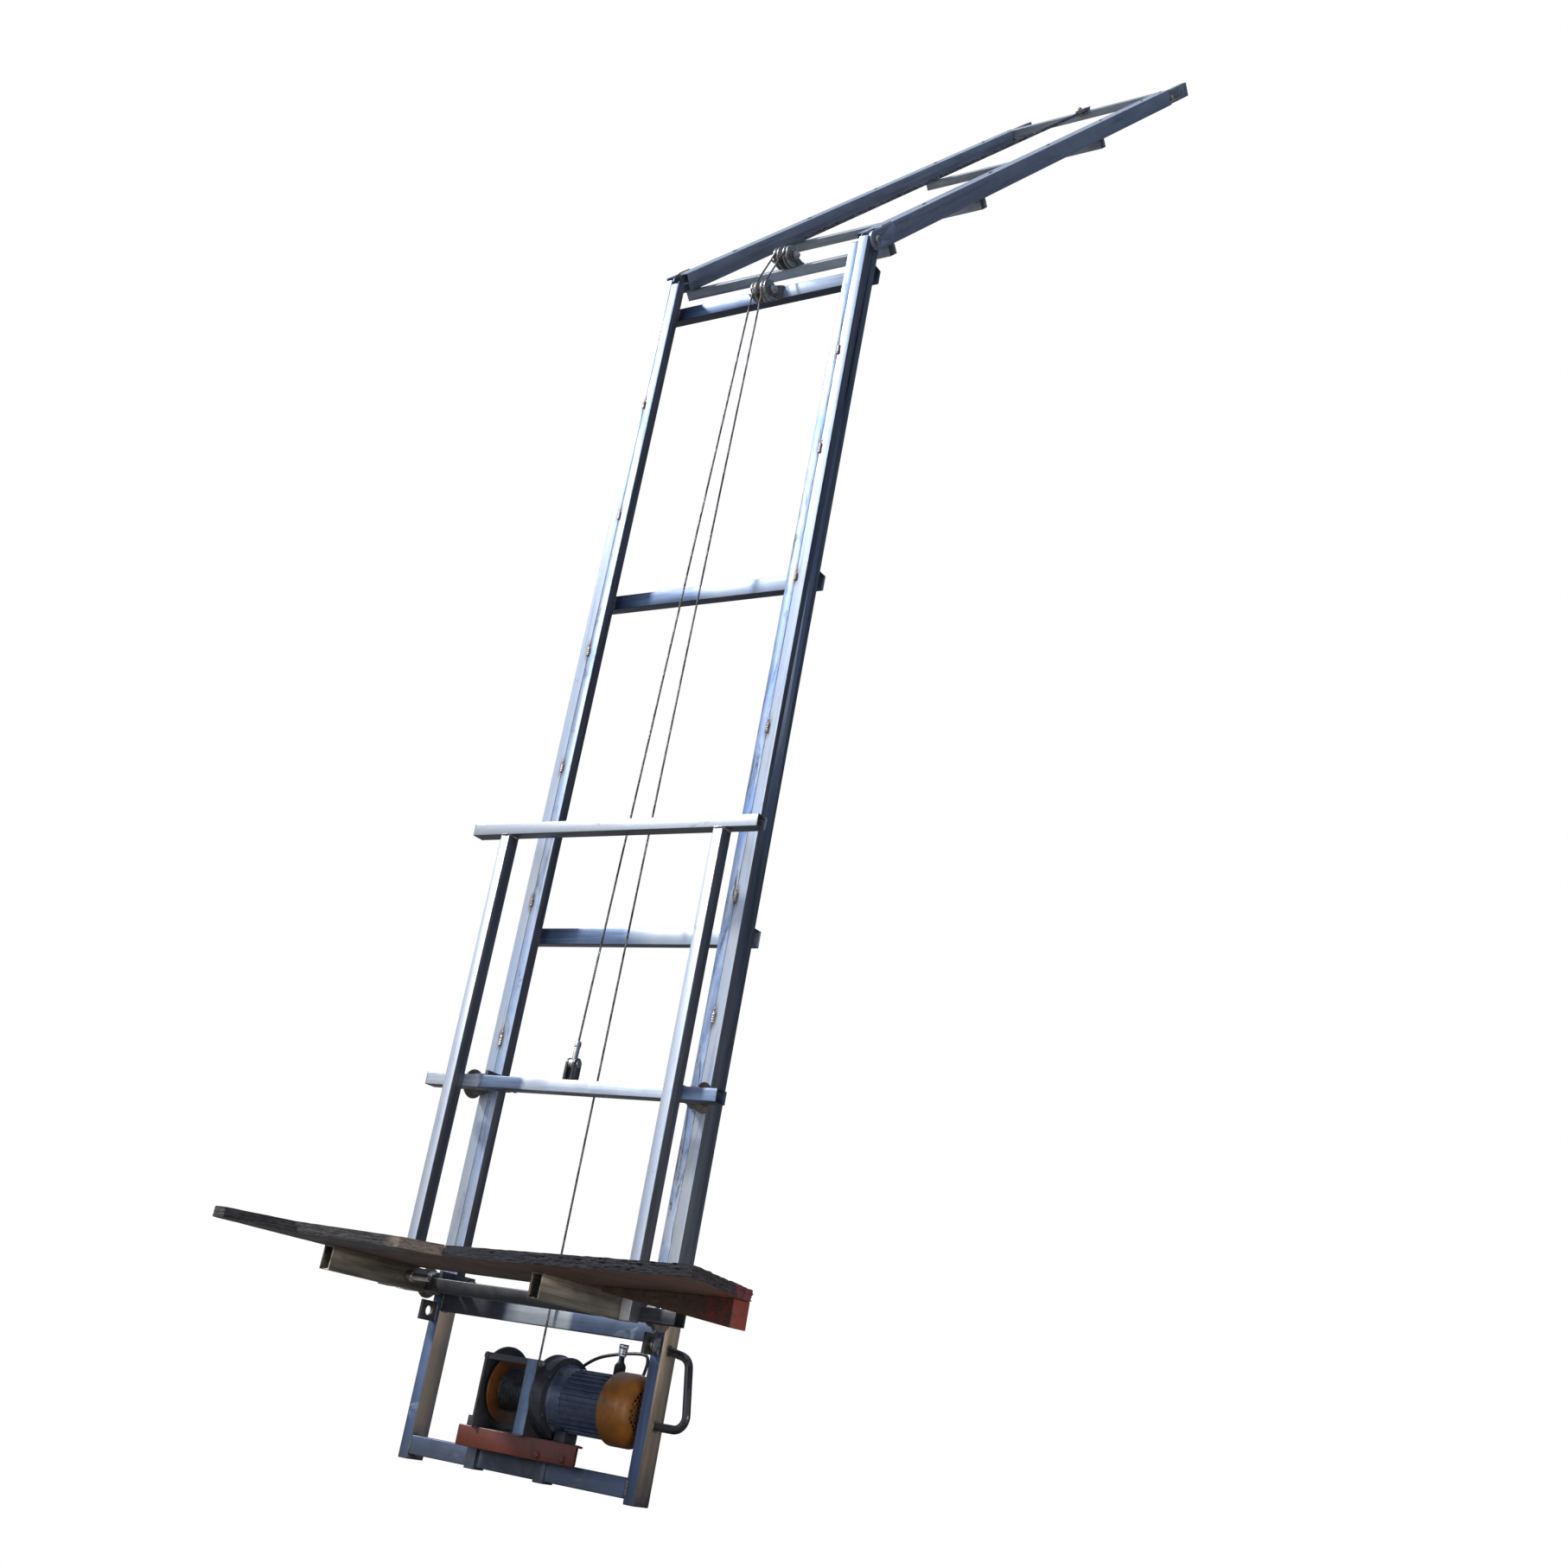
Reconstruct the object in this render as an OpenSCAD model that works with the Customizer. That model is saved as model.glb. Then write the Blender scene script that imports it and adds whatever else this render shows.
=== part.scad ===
// Inclined material hoist: ladder mast with a knee, roof frame, carriage with forks,
// and a rope winch in the foot.
// Millimetres. X runs right, Y runs back from the front face of the rails, Z runs up from the ground.

/* [Frame] */
// Half of the outside width over the rails
half_width = 365; // [345:5:420]
// Width of a rail tube, seen from the front
rail_w = 30; // [30:1:34]
// Depth of the base and roof rail tubes
rail_d = 60; // [56:1:64]
// Depth of the mast rail tubes
mast_d = 65; // [62:1:70]
// Side of the square guide tube beside each rail
guide_w = 30; // [28:1:32]
// Wall of every rectangular tube
tube_wall = 2.5; // [2:0.5:3]

/* [Heights] */
// Height of the base section
base_h = 405; // [400:1:410]
// Height of the knee pin above the ground
knee_z = 3475; // [3470:1:3500]
// Angle of the roof frame above the horizontal
roof_angle = 47.7; // [35:0.1:60]
// Length of the roof rails from the knee plane
roof_len = 2780; // [2600:10:3000]
// Reach of the spigots past the roof rails
spigot_out = 237; // [200:1:260]

/* [Carriage] */
// Half length of the carriage cross bars
bar_half = 463; // [440:1:500]
// Height of the underside of the forks at rest
fork_z = 388; // [384:1:392]
// Length of the forks in front of the uprights' back face
fork_len = 336; // [280:1:420]
// Height of the upright tops at rest
upright_top = 1587; // [1400:1:1700]

/* [Rope and sheaves] */
// Diameter of the wire rope
rope_d = 6; // [5:0.5:6]
// Radius of the rope's centre line on a mast sheave
sheave_r = 28; // [27:0.5:29]
// Radius of the rope's centre line on the drum
wrap_r = 49; // [48:0.5:50]
// Loops of rope on the drum, the last one half laid
wrap_loops = 16.5; // [12.5:1:16.5]

/* [Winch] */
// Height of the drum axis
axis_z = 200; // [198:1:204]
// Distance of the drum axis behind the rail fronts
axis_y = 40; // [38:1:42]
// Radius of the drum flanges
flange_r = 79; // [74:1:82]
// Radius of the fan cover
fan_r = 84; // [80:1:88]
// Cooling fins round the motor
fin_count = 32; // [20:2:36]

/* [Hidden] */
$fn = 48;
run_gap = 0.3;
pin_gap = 0.05;
rail_in = half_width - rail_w;
guide_in = rail_in - guide_w;
slip = tube_wall + run_gap;
plane_z = knee_z + 2;
roof_start = 80;
roof_guide_start = 40;
mast_top = knee_z - 5;
guide_top = knee_z - 20;
knee_y = 36;
knee_r = 29;
knee_pin_r = 8;
knee_pin_head = 13;
knee_along = knee_y * cos(roof_angle) + (knee_z - plane_z) * sin(roof_angle);
knee_depth = knee_y * sin(roof_angle) - (knee_z - plane_z) * cos(roof_angle);
plate_t = 6;
plate_end = 157;
bar_t = 30;
rung_h = 45;
rung_z = [1347, 2366, knee_z - 111];
roof_bar_at = [97, 790, 1930];
bar_low_z = 12;
bar_high_z = base_h - 48;
lug_x = half_width - 19;
lug_t = 8;
lug_depth = 55;
lug_z = [base_h - 77, base_h - 29];
lug_hole = [-27, base_h - 53];
lug_hole_r = 12;
handle_r = 10;
handle_tilt_gap = 1.85;
rope_r = rope_d / 2;
rope_pitch = rope_d + 0.5;
sheave_y = sheave_r - 14;
sheave_z = knee_z - 115;
sheave_gap = 33;
sheave_t = 16;
sheave_rim = sheave_r + 5;
sheave_pin = 6;
upper_along = 100;
upper_depth = 26;
end_along = roof_len - 90;
end_r = sheave_gap / 2;
end_sheave_t = 14;
end_pin_r = 5;
spigot_bolt_r = 6;
spigot_bolt_depth = 32;
spigot_bolt_at = roof_len + 20;
spigot_root = roof_len - 180;
end_depth = upper_depth - sheave_r;
car_y = [-148, -108, -68];
car_bar_h = 33;
bar_low = fork_z + 6;
bar_mid = fork_z + 520;
fork_h = 55;
fork_top = fork_z + fork_h;
upright_x = half_width - 32;
upright_w = 30;
front_r = 28;
front_flange_r = 38;
front_y = -front_r - run_gap;
front_z = [fork_z + 30, fork_z + 544];
front_pin = 7;
rear_r = 16;
rear_y = guide_w + rear_r + run_gap;
rear_z = [fork_z + 44, fork_z + 558];
rear_pin = 6;
arm_x = [guide_in - 13, guide_in - 5];
lug_pin_z = bar_mid + car_bar_h + 44;
lug_pin_r = 6;
rope_foot = [0, -88, lug_pin_z];
rope_head = [0, sheave_y - sheave_r, sheave_z];
line_dir = (rope_head - rope_foot) / norm(rope_head - rope_foot);
socket_len = 58;
deck_t = 24;
deck_left = -345;
deck_right = 850;
deck_tip = 947;
deck_front_slope = -0.2725;
deck_front_y = -509;
tongue_y = -788;
batten_len = 440;
batten_w = 45;
batten_h = [13, 58];
fork_pin_len = 68;
fork_w = 30;
deck_back_slope = -0.27;
deck_back_y = -172;
fork_pin_y = -175;
fork_pin_r = 8;
drum_x = [-92, 33];
drum_flange_t = 5;
shaft_r = 12;
channel_top = 104;
channel_y = [-40, 60];
channel_x = [-158, 204];
frame_y = [-50, 130];
frame_top = 277;
left_plate = [-114, -108];
right_plate = [44, 50];
gearbox_x = [50, 84];
gearbox_r = 95;
bell_x = [84, 120];
body_x = [120, 240];
body_r = 66;
fin_r = 74;
shield_x = [240, 250];
cover_x = [243, 318];
cover_wall = 2;
cover_gap = 17;
winch_x = rail_in - cover_gap - cover_x[1];
motor_shaft_r = 10;
gear_wall = 5;
gear_bolt_r = 88;
bell_r = 76;
housing_r = 50;
rotor_r = 32;
fan_blade_r = 62;
channel_bolt_x = [94, 170];
channel_wall = 5;
channel_h = 48;
channel_bolt_drop = 36;
channel_slant = [-15, 70];
strap_x = [-146, 69];
lead_r = 4;
box_x = [142, 202];
box_top = axis_z + 60;
lead_exit = [axis_y + 78, axis_z + 40];
lead_y = frame_y[1] + 8;
boot_at = [180, axis_y + 62];
wrap_steps = 24;
core_r = wrap_r * cos(180 / wrap_steps) - rope_r - run_gap;
line_x = winch_x + 20.6;
line_foot = [line_x, axis_y - wrap_r, axis_z];
line_head = [sheave_gap, sheave_y - sheave_r, sheave_z];
winch_dir = (line_head - line_foot) / norm(line_head - line_foot);
stub_len = 26;

steel = [0.62, 0.66, 0.70];
navy = [0.16, 0.20, 0.30];
blue_steel = [0.36, 0.45, 0.58];
black = [0.07, 0.07, 0.08];
zinc = [0.75, 0.77, 0.78];
red = [0.45, 0.12, 0.08];
orange = [0.62, 0.30, 0.08];
rope_grey = [0.15, 0.15, 0.16];
ply = [0.20, 0.13, 0.09];

function unit(v) = v / norm(v);

function tangent(p, i) =
  i == 0 ? unit(p[1] - p[0]) :
  i == len(p) - 1 ? unit(p[i] - p[i - 1]) :
  unit(unit(p[i + 1] - p[i]) + unit(p[i] - p[i - 1]));

// Points of an arc that rounds the corner b between a and c
function corner(a, b, c, r, steps) =
  let(u = unit(a - b), w = unit(c - b), half = acos(u * w) / 2)
  let(mid = b + unit(u + w) * r / sin(half), reach = r / tan(half), turn = 180 - 2 * half)
  let(v0 = b + u * reach - mid, v1 = b + w * reach - mid)
  [for (j = [0:steps]) mid + (sin(turn * (1 - j / steps)) * v0 + sin(turn * j / steps) * v1) / sin(turn)];

function rounded(p, r, steps) = concat([p[0]],
  [for (i = [1:len(p) - 2]) each corner(p[i - 1], p[i], p[i + 1], r, steps)],
  [p[len(p) - 1]]);

// Round tube swept along a path, with ref square to most of it
module sweep(p, r, sides, ref) {
  n = len(p);
  pts = [for (i = [0:n - 1])
    let(t = tangent(p, i), u = unit(cross(ref, t)), w = cross(t, u))
    for (k = [0:sides - 1]) p[i] + r * (cos(360 * k / sides) * u + sin(360 * k / sides) * w)];
  side = [for (i = [0:n - 2]) for (k = [0:sides - 1])
    let(a = i * sides + k, b = i * sides + (k + 1) % sides)
    each [[a, a + sides, b + sides], [a, b + sides, b]]];
  first = [for (k = [1:sides - 2]) [0, k, k + 1]];
  last = [for (k = [1:sides - 2]) [(n - 1) * sides, (n - 1) * sides + k + 1, (n - 1) * sides + k]];
  polyhedron(points = pts, faces = concat(side, first, last));
}

module span(lo, hi) {
  translate(lo) cube(hi - lo);
}

// Rectangular tube from lo to hi, open along axis ax
module hollow(lo, hi, ax) {
  cut = [for (i = [0:2]) i == ax ? -1 : tube_wall];
  difference() {
    span(lo, hi);
    span(lo + cut, hi - cut);
  }
}

module both() {
  children();
  mirror([1, 0, 0]) children();
}

module rod_x(x0, x1, y, z, r) {
  translate([x0, y, z]) rotate([0, 90, 0]) cylinder(h = x1 - x0, r = r);
}

module hex_x(x0, x1, y, z, r) {
  translate([x0, y, z]) rotate([0, 90, 0]) cylinder(h = x1 - x0, r = r, $fn = 6);
}

// A flat shape drawn in Y and Z, made x0 to x1 thick
module slab_x(x0, x1) {
  translate([x0, 0, 0]) rotate([90, 0, 90]) linear_extrude(x1 - x0) children();
}

module at_winch() {
  translate([winch_x, 0, 0]) children();
}

// Places a child given as X, depth behind the roof plane, length along the roof
module on_roof() {
  translate([0, 0, plane_z]) rotate([roof_angle - 90, 0, 0]) children();
}

module base_rails() {
  color(blue_steel) both() hollow([rail_in, 0, 0], [half_width, rail_d, base_h], 2);
}

module base_bars() {
  color(blue_steel) {
    for (z = [bar_low_z, bar_high_z])
      hollow([-rail_in, 0, z], [rail_in, bar_t, z + rung_h], 0);
  }
}

module base_lugs() {
  color(blue_steel) both() difference() {
    span([lug_x, -lug_depth, lug_z[0]], [lug_x + lug_t, 0, lug_z[1]]);
    rod_x(lug_x - 1, lug_x + lug_t + 1, lug_hole[0], lug_hole[1], lug_hole_r);
  }
}

module lug_bolt() {
  color(zinc) {
    rod_x(lug_x - 6, lug_x + lug_t + 4, lug_hole[0], lug_hole[1], lug_hole_r - pin_gap);
    rod_x(lug_x + lug_t + 4, lug_x + lug_t + 9, lug_hole[0], lug_hole[1], lug_hole_r + 3);
    rod_x(lug_x - 10, lug_x - 6, lug_hole[0], lug_hole[1], lug_hole_r + 2);
  }
}

module base_spigots() {
  color(zinc) both()
    hollow([rail_in + slip, slip, base_h - 60], [half_width - slip, rail_d - slip, base_h + 60], 2);
}

module carry_handle() {
  path = rounded([[half_width, 30, 176], [half_width + 85, 30, 176], [half_width + 60, 30, base_h - 71],
    [half_width + handle_tilt_gap, 30, base_h - 60]], 30, 8);
  color(black) sweep(path, handle_r, 16, [0, 1, 0]);
}

module mast_rail() {
  difference() {
    slab_x(rail_in, half_width) {
      translate([0, base_h]) square([mast_d, mast_top - base_h]);
      translate([knee_y, knee_z]) circle(knee_r);
    }
    span([rail_in + tube_wall, tube_wall, base_h - 1],
      [half_width - tube_wall, mast_d - tube_wall, knee_z + 60]);
    span([rail_in - 1, -1, guide_top], [rail_in + run_gap, mast_d + 1, knee_z + 60]);
    rod_x(rail_in - 1, half_width + 1, knee_y, knee_z, knee_pin_r + pin_gap);
  }
}

module mast_rail_left() {
  color(steel) mirror([1, 0, 0]) mast_rail();
}

module mast_rail_right() {
  color(steel) mast_rail();
}

module mast_guides() {
  color(steel) both() hollow([guide_in, 0, base_h], [rail_in, guide_w, guide_top], 2);
}

module mast_rungs() {
  color(steel) {
    for (z = rung_z)
      hollow([-half_width, mast_d, z], [half_width, mast_d + bar_t, z + rung_h], 0);
  }
}

module hinge_pins() {
  color(zinc) both() {
    rod_x(rail_in - 6, half_width + plate_t + 4, knee_y, knee_z, knee_pin_r);
    rod_x(half_width + plate_t + 4, half_width + plate_t + 9, knee_y, knee_z, knee_pin_head);
  }
}

// Cheeks, foot plate and pin of a pair of sheaves, with the pin axis at the origin and the foot behind
module sheave_block(reach, foot_lo, foot_hi) {
  for (x = [-sheave_t / 2 - 5, sheave_gap / 2 - 2, sheave_gap + sheave_t / 2 + 1])
    slab_x(x, x + 4) {
      circle(sheave_pin + 9);
      polygon([[0, -sheave_pin - 9], [reach - 5, foot_lo], [reach - 5, foot_hi], [0, sheave_pin + 9]]);
    }
  span([-sheave_t / 2 - 9, reach - 5, foot_lo], [sheave_gap + sheave_t / 2 + 9, reach, foot_hi]);
  rod_x(-sheave_t / 2 - 9, sheave_gap + sheave_t / 2 + 9, 0, 0, sheave_pin);
}

// Grooved wheel on the Z axis: rope radius, thickness and bore
module sheave(r, t, bore) {
  deep = r - rope_r - run_gap;
  rotate_extrude() polygon([[bore, -t / 2], [r + 5, -t / 2], [r + 5, -t / 2 + 2.6], [deep, -rope_r + 0.4],
    [deep, rope_r - 0.4], [r + 5, t / 2 - 2.6], [r + 5, t / 2], [bore, t / 2]]);
}

module lower_block() {
  color(navy) translate([0, sheave_y, sheave_z]) sheave_block(mast_d - sheave_y, 4, 49);
}

module upright_sheave(x) {
  color(zinc) translate([x, 0, 0]) rotate([0, 90, 0]) sheave(sheave_r, sheave_t, sheave_pin + pin_gap);
}

module lower_sheave_left() {
  translate([0, sheave_y, sheave_z]) upright_sheave(0);
}

module lower_sheave_right() {
  translate([0, sheave_y, sheave_z]) upright_sheave(sheave_gap);
}

module roof_rail() {
  on_roof() hollow([rail_in, 0, roof_start], [half_width, rail_d, roof_len], 2);
}

module roof_rail_left() {
  color(blue_steel) mirror([1, 0, 0]) roof_rail();
}

module roof_rail_right() {
  color(blue_steel) roof_rail();
}

module roof_guides() {
  color(blue_steel) both() on_roof()
    hollow([guide_in, 0, roof_guide_start], [rail_in, guide_w, roof_len - 60], 2);
}

module roof_bars() {
  color(blue_steel) on_roof() {
    for (s = roof_bar_at)
      hollow([-half_width, rail_d, s], [half_width, rail_d + bar_t, s + 43], 0);
  }
}

module roof_end_bar() {
  color(blue_steel) on_roof() hollow([-rail_in, 0, roof_len - 45], [rail_in, bar_t, roof_len + 10], 0);
}

module hinge_plates() {
  color(blue_steel) both() on_roof() difference() {
    slab_x(half_width + run_gap, half_width + run_gap + plate_t) {
      translate([knee_depth, knee_along]) circle(knee_r);
      translate([0, knee_along]) square([knee_depth + knee_r, plate_end - knee_along]);
    }
    rod_x(half_width, half_width + 10, knee_depth, knee_along, knee_pin_r + pin_gap);
  }
}

module roof_spigots() {
  color(zinc) both() on_roof() difference() {
    hollow([rail_in + slip, slip, spigot_root], [half_width - slip, rail_d - slip,
      roof_len + spigot_out], 2);
    rod_x(rail_in, half_width, spigot_bolt_depth, spigot_bolt_at, spigot_bolt_r + pin_gap);
  }
}

module spigot_bolts() {
  color(zinc) both() on_roof() {
    rod_x(rail_in - 4, half_width + 2, spigot_bolt_depth, spigot_bolt_at, spigot_bolt_r);
    hex_x(half_width - slip, half_width + 5, spigot_bolt_depth, spigot_bolt_at, 11);
    hex_x(rail_in - 7, rail_in + slip, spigot_bolt_depth, spigot_bolt_at, 11);
  }
}

module upper_block() {
  color(navy) on_roof() translate([0, upper_depth, upper_along])
    sheave_block(rail_d - upper_depth, 17, 40);
}

module upper_sheave_left() {
  on_roof() translate([0, upper_depth, upper_along]) upright_sheave(0);
}

module upper_sheave_right() {
  on_roof() translate([0, upper_depth, upper_along]) upright_sheave(sheave_gap);
}

module end_block() {
  cheek = end_sheave_t / 2 + 0.5;
  color(navy) on_roof() {
    span([end_r - 14, end_depth - cheek - 4, end_along - 16], [end_r + 14, end_depth - cheek, roof_len - 5]);
    span([end_r - 14, end_depth + cheek, end_along - 16],
      [end_r + 14, end_depth + cheek + 4, roof_len - 45]);
    span([end_r - 12, end_depth - cheek, roof_len - 43], [end_r + 12, 0, roof_len - 8]);
    translate([end_r, end_depth - 15, end_along]) rotate([-90, 0, 0]) cylinder(h = 30, r = end_pin_r);
  }
}

module end_sheave() {
  color(zinc) on_roof() translate([end_r, end_depth, end_along]) rotate([-90, 0, 0])
    sheave(end_r, end_sheave_t, end_pin_r + pin_gap);
}

module carriage_uprights() {
  color(steel) both()
    hollow([upright_x, car_y[0], fork_z], [upright_x + upright_w, car_y[1], upright_top], 2);
}

module carriage_top_bar() {
  color(steel)
    hollow([-bar_half, car_y[0], upright_top], [bar_half, car_y[1], upright_top + car_bar_h], 0);
}

module carriage_low_bars() {
  color(steel) {
    for (z = [bar_low, bar_mid])
      hollow([-bar_half, car_y[1], z], [bar_half, car_y[2], z + car_bar_h], 0);
  }
}

module forks() {
  color(navy) both()
    hollow([upright_x - fork_w, car_y[1] - fork_len, fork_z], [upright_x, car_y[1], fork_top], 1);
}

module fork_pins() {
  color(zinc) both() {
    rod_x(upright_x - fork_w - fork_pin_len, upright_x - fork_w, fork_pin_y, fork_z + 30, fork_pin_r);
    rod_x(upright_x - fork_w - 18, upright_x - fork_w - 4, fork_pin_y, fork_z + 30, fork_pin_r + 5);
  }
}

module roller_brackets() {
  color(navy) both() {
    for (z = front_z) {
      span([half_width + 8, car_y[2], z - 18], [half_width + 14, -14, z + 18]);
      span([rail_in - 10, car_y[2], z - 18], [rail_in - 4, -14, z + 18]);
      rod_x(rail_in - 4, half_width + 8, front_y, z, front_pin);
    }
  }
}

module roller_arms() {
  color(navy) both() {
    for (z = rear_z) {
      slab_x(arm_x[0], arm_x[1])
        polygon([[car_y[2], z - 36], [car_y[2] + 16, z - 36], [car_y[2] + 36, z - 14],
          [rear_y + 12, z - 14], [rear_y + 12, z + 16], [car_y[2], z + 16]]);
      rod_x(arm_x[1], rail_in - 1, rear_y, z, rear_pin);
    }
  }
}

module front_roller(z) {
  both() difference() {
    union() {
      rod_x(rail_in + 1, half_width + 1, front_y, z, front_r);
      rod_x(half_width + 1, half_width + 7, front_y, z, front_flange_r);
    }
    rod_x(rail_in, half_width + 8, front_y, z, front_pin + pin_gap);
  }
}

module front_rollers_upper() {
  color(black) front_roller(front_z[1]);
}

module front_rollers_lower() {
  color(black) front_roller(front_z[0]);
}

module rear_roller(z) {
  both() difference() {
    rod_x(guide_in + 2, rail_in - 2, rear_y, z, rear_r);
    rod_x(guide_in, rail_in, rear_y, z, rear_pin + pin_gap);
  }
}

module rear_rollers_upper() {
  color(black) rear_roller(rear_z[1]);
}

module rear_rollers_lower() {
  color(black) rear_roller(rear_z[0]);
}

module rope_lug() {
  color(steel) {
    both() slab_x(8, 14) {
      translate([rope_foot[1], lug_pin_z]) circle(15);
      translate([rope_foot[1] - 15, bar_mid + car_bar_h]) square([30, lug_pin_z - bar_mid - car_bar_h]);
    }
    rod_x(-18, 18, rope_foot[1], lug_pin_z, lug_pin_r);
  }
}

module along_line(foot, way) {
  translate(foot) rotate([0, acos(way[2]), atan2(way[1], way[0])]) children();
}

module rope_socket() {
  color(zinc) {
    difference() {
      rod_x(-7, 7, rope_foot[1], lug_pin_z, 14);
      rod_x(-8, 8, rope_foot[1], lug_pin_z, lug_pin_r + pin_gap);
    }
    along_line(rope_foot + 12 * line_dir, line_dir) cylinder(h = socket_len - 12, r = 7);
  }
}

function deck_front(x) = deck_front_y + deck_front_slope * x;

function deck_back(x) = deck_back_y + deck_back_slope * x;

module deck_board() {
  clear_y = car_y[0] - 2;
  color(ply) translate([0, 0, fork_top]) linear_extrude(deck_t)
    polygon([[deck_left, clear_y], [deck_left, deck_front(deck_left)],
      [deck_tip, deck_front(deck_tip)], [deck_right, deck_back(deck_right)],
      [(clear_y - deck_back_y) / deck_back_slope, clear_y]]);
}

module deck_offcut() {
  color(ply) translate([0, 0, fork_top]) linear_extrude(deck_t)
    polygon([[deck_left, deck_front(deck_left)], [deck_left, tongue_y], [deck_left + 40, tongue_y - 4],
      [deck_left + 131, tongue_y + 120], [deck_left + 405, tongue_y + 176],
      [deck_left + 475, deck_front(deck_left + 475)]]);
}

module deck_batten() {
  color(red) translate([deck_right, deck_back(deck_right), fork_top]) rotate([0, 0, atan(deck_back_slope)])
    translate([-2, -2, 0]) rotate([90, 0, 0]) linear_extrude(batten_w)
      polygon([[0, 0], [-batten_len, 0], [-batten_len, -batten_h[0]], [0, -batten_h[1]]]);
}

module winch_channel() {
  color(red) at_winch() {
    difference() {
      span([channel_x[0], channel_y[0], channel_top - channel_h], [channel_x[1], channel_y[1], channel_top]);
      span([channel_x[0] - 1, channel_y[0] + channel_wall, channel_top - channel_h - 1],
        [channel_x[1] + 1, channel_y[1] - channel_wall, channel_top - channel_wall]);
      translate([0, 0, channel_top - channel_h - 1]) linear_extrude(channel_h + 2)
        polygon([[channel_x[1] + 1, channel_slant[0]], [channel_x[1] - channel_slant[1], channel_y[1] + 1],
          [channel_x[1] + 1, channel_y[1] + 1]]);
    }
    for (x = channel_bolt_x)
      translate([x, channel_y[0], channel_top - channel_bolt_drop]) rotate([90, 0, 0])
        cylinder(h = 6, r = 9, $fn = 6);
  }
}

module channel_clamps() {
  color(steel) at_winch() {
    span([-150, 0, bar_low_z + rung_h], [110, bar_t, channel_top - channel_wall]);
    for (x = strap_x)
      difference() {
        span([x, -5, bar_low_z - 5], [x + 30, bar_t + 5, channel_top - channel_wall]);
        span([x - 1, 0, bar_low_z], [x + 31, bar_t, channel_top]);
      }
  }
}

module side_plate(x0, x1, round_r) {
  difference() {
    slab_x(x0, x1) {
      translate([frame_y[0], channel_top]) square([frame_y[1] - frame_y[0], frame_top - channel_top]);
      intersection() {
        translate([axis_y, axis_z]) circle(round_r, $fn = 96);
        translate([frame_y[0], channel_top]) square([frame_y[1] - frame_y[0], 300]);
      }
    }
    rod_x(x0 - 1, x1 + 1, axis_y, axis_z, shaft_r + pin_gap);
  }
}

module winch_frame() {
  color(navy) at_winch() {
    side_plate(left_plate[0], left_plate[1], 99);
    side_plate(right_plate[0], right_plate[1], 99);
    span([18, frame_y[0], channel_top], [right_plate[0], frame_y[0] + 4, frame_top]);
    span([left_plate[1], frame_y[0] + 6, frame_top - 15], [right_plate[0], frame_y[0] + 21, frame_top]);
    span([left_plate[1], frame_y[1] - 20, frame_top - 15], [right_plate[0], frame_y[1] - 5, frame_top]);
    span([-138, frame_y[0] + 14, channel_top], [left_plate[0], frame_y[0] + 44, channel_top + 24]);
    hex_x(left_plate[0] - 7, left_plate[0], frame_y[0] + 13, frame_top - 8, 9);
  }
}

module winch_drum() {
  color(orange) at_winch() {
    difference() {
      union() {
        rod_x(drum_x[0] - drum_flange_t, drum_x[0], axis_y, axis_z, flange_r);
        rod_x(drum_x[0], drum_x[1], axis_y, axis_z, core_r);
        rod_x(drum_x[1], drum_x[1] + drum_flange_t, axis_y, axis_z, flange_r);
        rod_x(left_plate[1] + 1, drum_x[0], axis_y, axis_z, 22);
        rod_x(drum_x[1], right_plate[0] - 1, axis_y, axis_z, 22);
      }
      rod_x(left_plate[0], right_plate[1], axis_y, axis_z, shaft_r + pin_gap);
    }
    span([drum_x[0], axis_y + wrap_r - 5, axis_z + rope_d], [drum_x[0] + 8, axis_y + wrap_r + 5,
      axis_z + rope_d + 14]);
  }
}

module drum_shaft() {
  color(zinc) at_winch() rod_x(left_plate[0] - 8, gearbox_x[0] + 12, axis_y, axis_z, shaft_r);
}

// Centre line of the turns on the drum, from its clamp to the point where the rope leaves
wrap_n = floor(wrap_steps * wrap_loops);
wrap_start = line_x - wrap_loops * rope_pitch;
function wrap_at(i) =
  let(t = i / wrap_steps, a = 180 + 360 * (wrap_loops - t))
  [wrap_start + rope_pitch * t, axis_y + wrap_r * cos(a), axis_z + wrap_r * sin(a)];
wrap_turns = [for (i = [0:wrap_n]) wrap_at(i)];
wrap_path = concat([wrap_turns[0] + [0, 0, rope_d]], wrap_turns,
  [line_foot + rope_d * winch_dir, line_foot + stub_len * winch_dir]);
wrap_gap = min([for (i = [0:wrap_n - wrap_steps])
  norm(wrap_turns[i + wrap_steps] - wrap_turns[i])]) - rope_d;
echo(str("Least gap between turns of the drum rope, mm: ", wrap_gap));

module drum_rope() {
  color(rope_grey) sweep(wrap_path, rope_r, 6, [1, 0, 0]);
}

module gearbox() {
  color(black) at_winch() {
    difference() {
      rod_x(gearbox_x[0], gearbox_x[1], axis_y, axis_z, gearbox_r);
      rod_x(gearbox_x[0] + gear_wall, gearbox_x[1] - gear_wall, axis_y, axis_z,
        gearbox_r - gear_wall);
      rod_x(gearbox_x[0] - 1, gearbox_x[0] + gear_wall + 1, axis_y, axis_z, shaft_r + pin_gap);
      rod_x(gearbox_x[1] - gear_wall - 1, gearbox_x[1] + 1, axis_y, axis_z, motor_shaft_r + pin_gap);
    }
    for (a = [30:60:330])
      translate([gearbox_x[1], axis_y + gear_bolt_r * cos(a), axis_z + gear_bolt_r * sin(a)])
        rotate([0, 90, 0]) cylinder(h = 6, r = 6, $fn = 6);
  }
}

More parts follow.
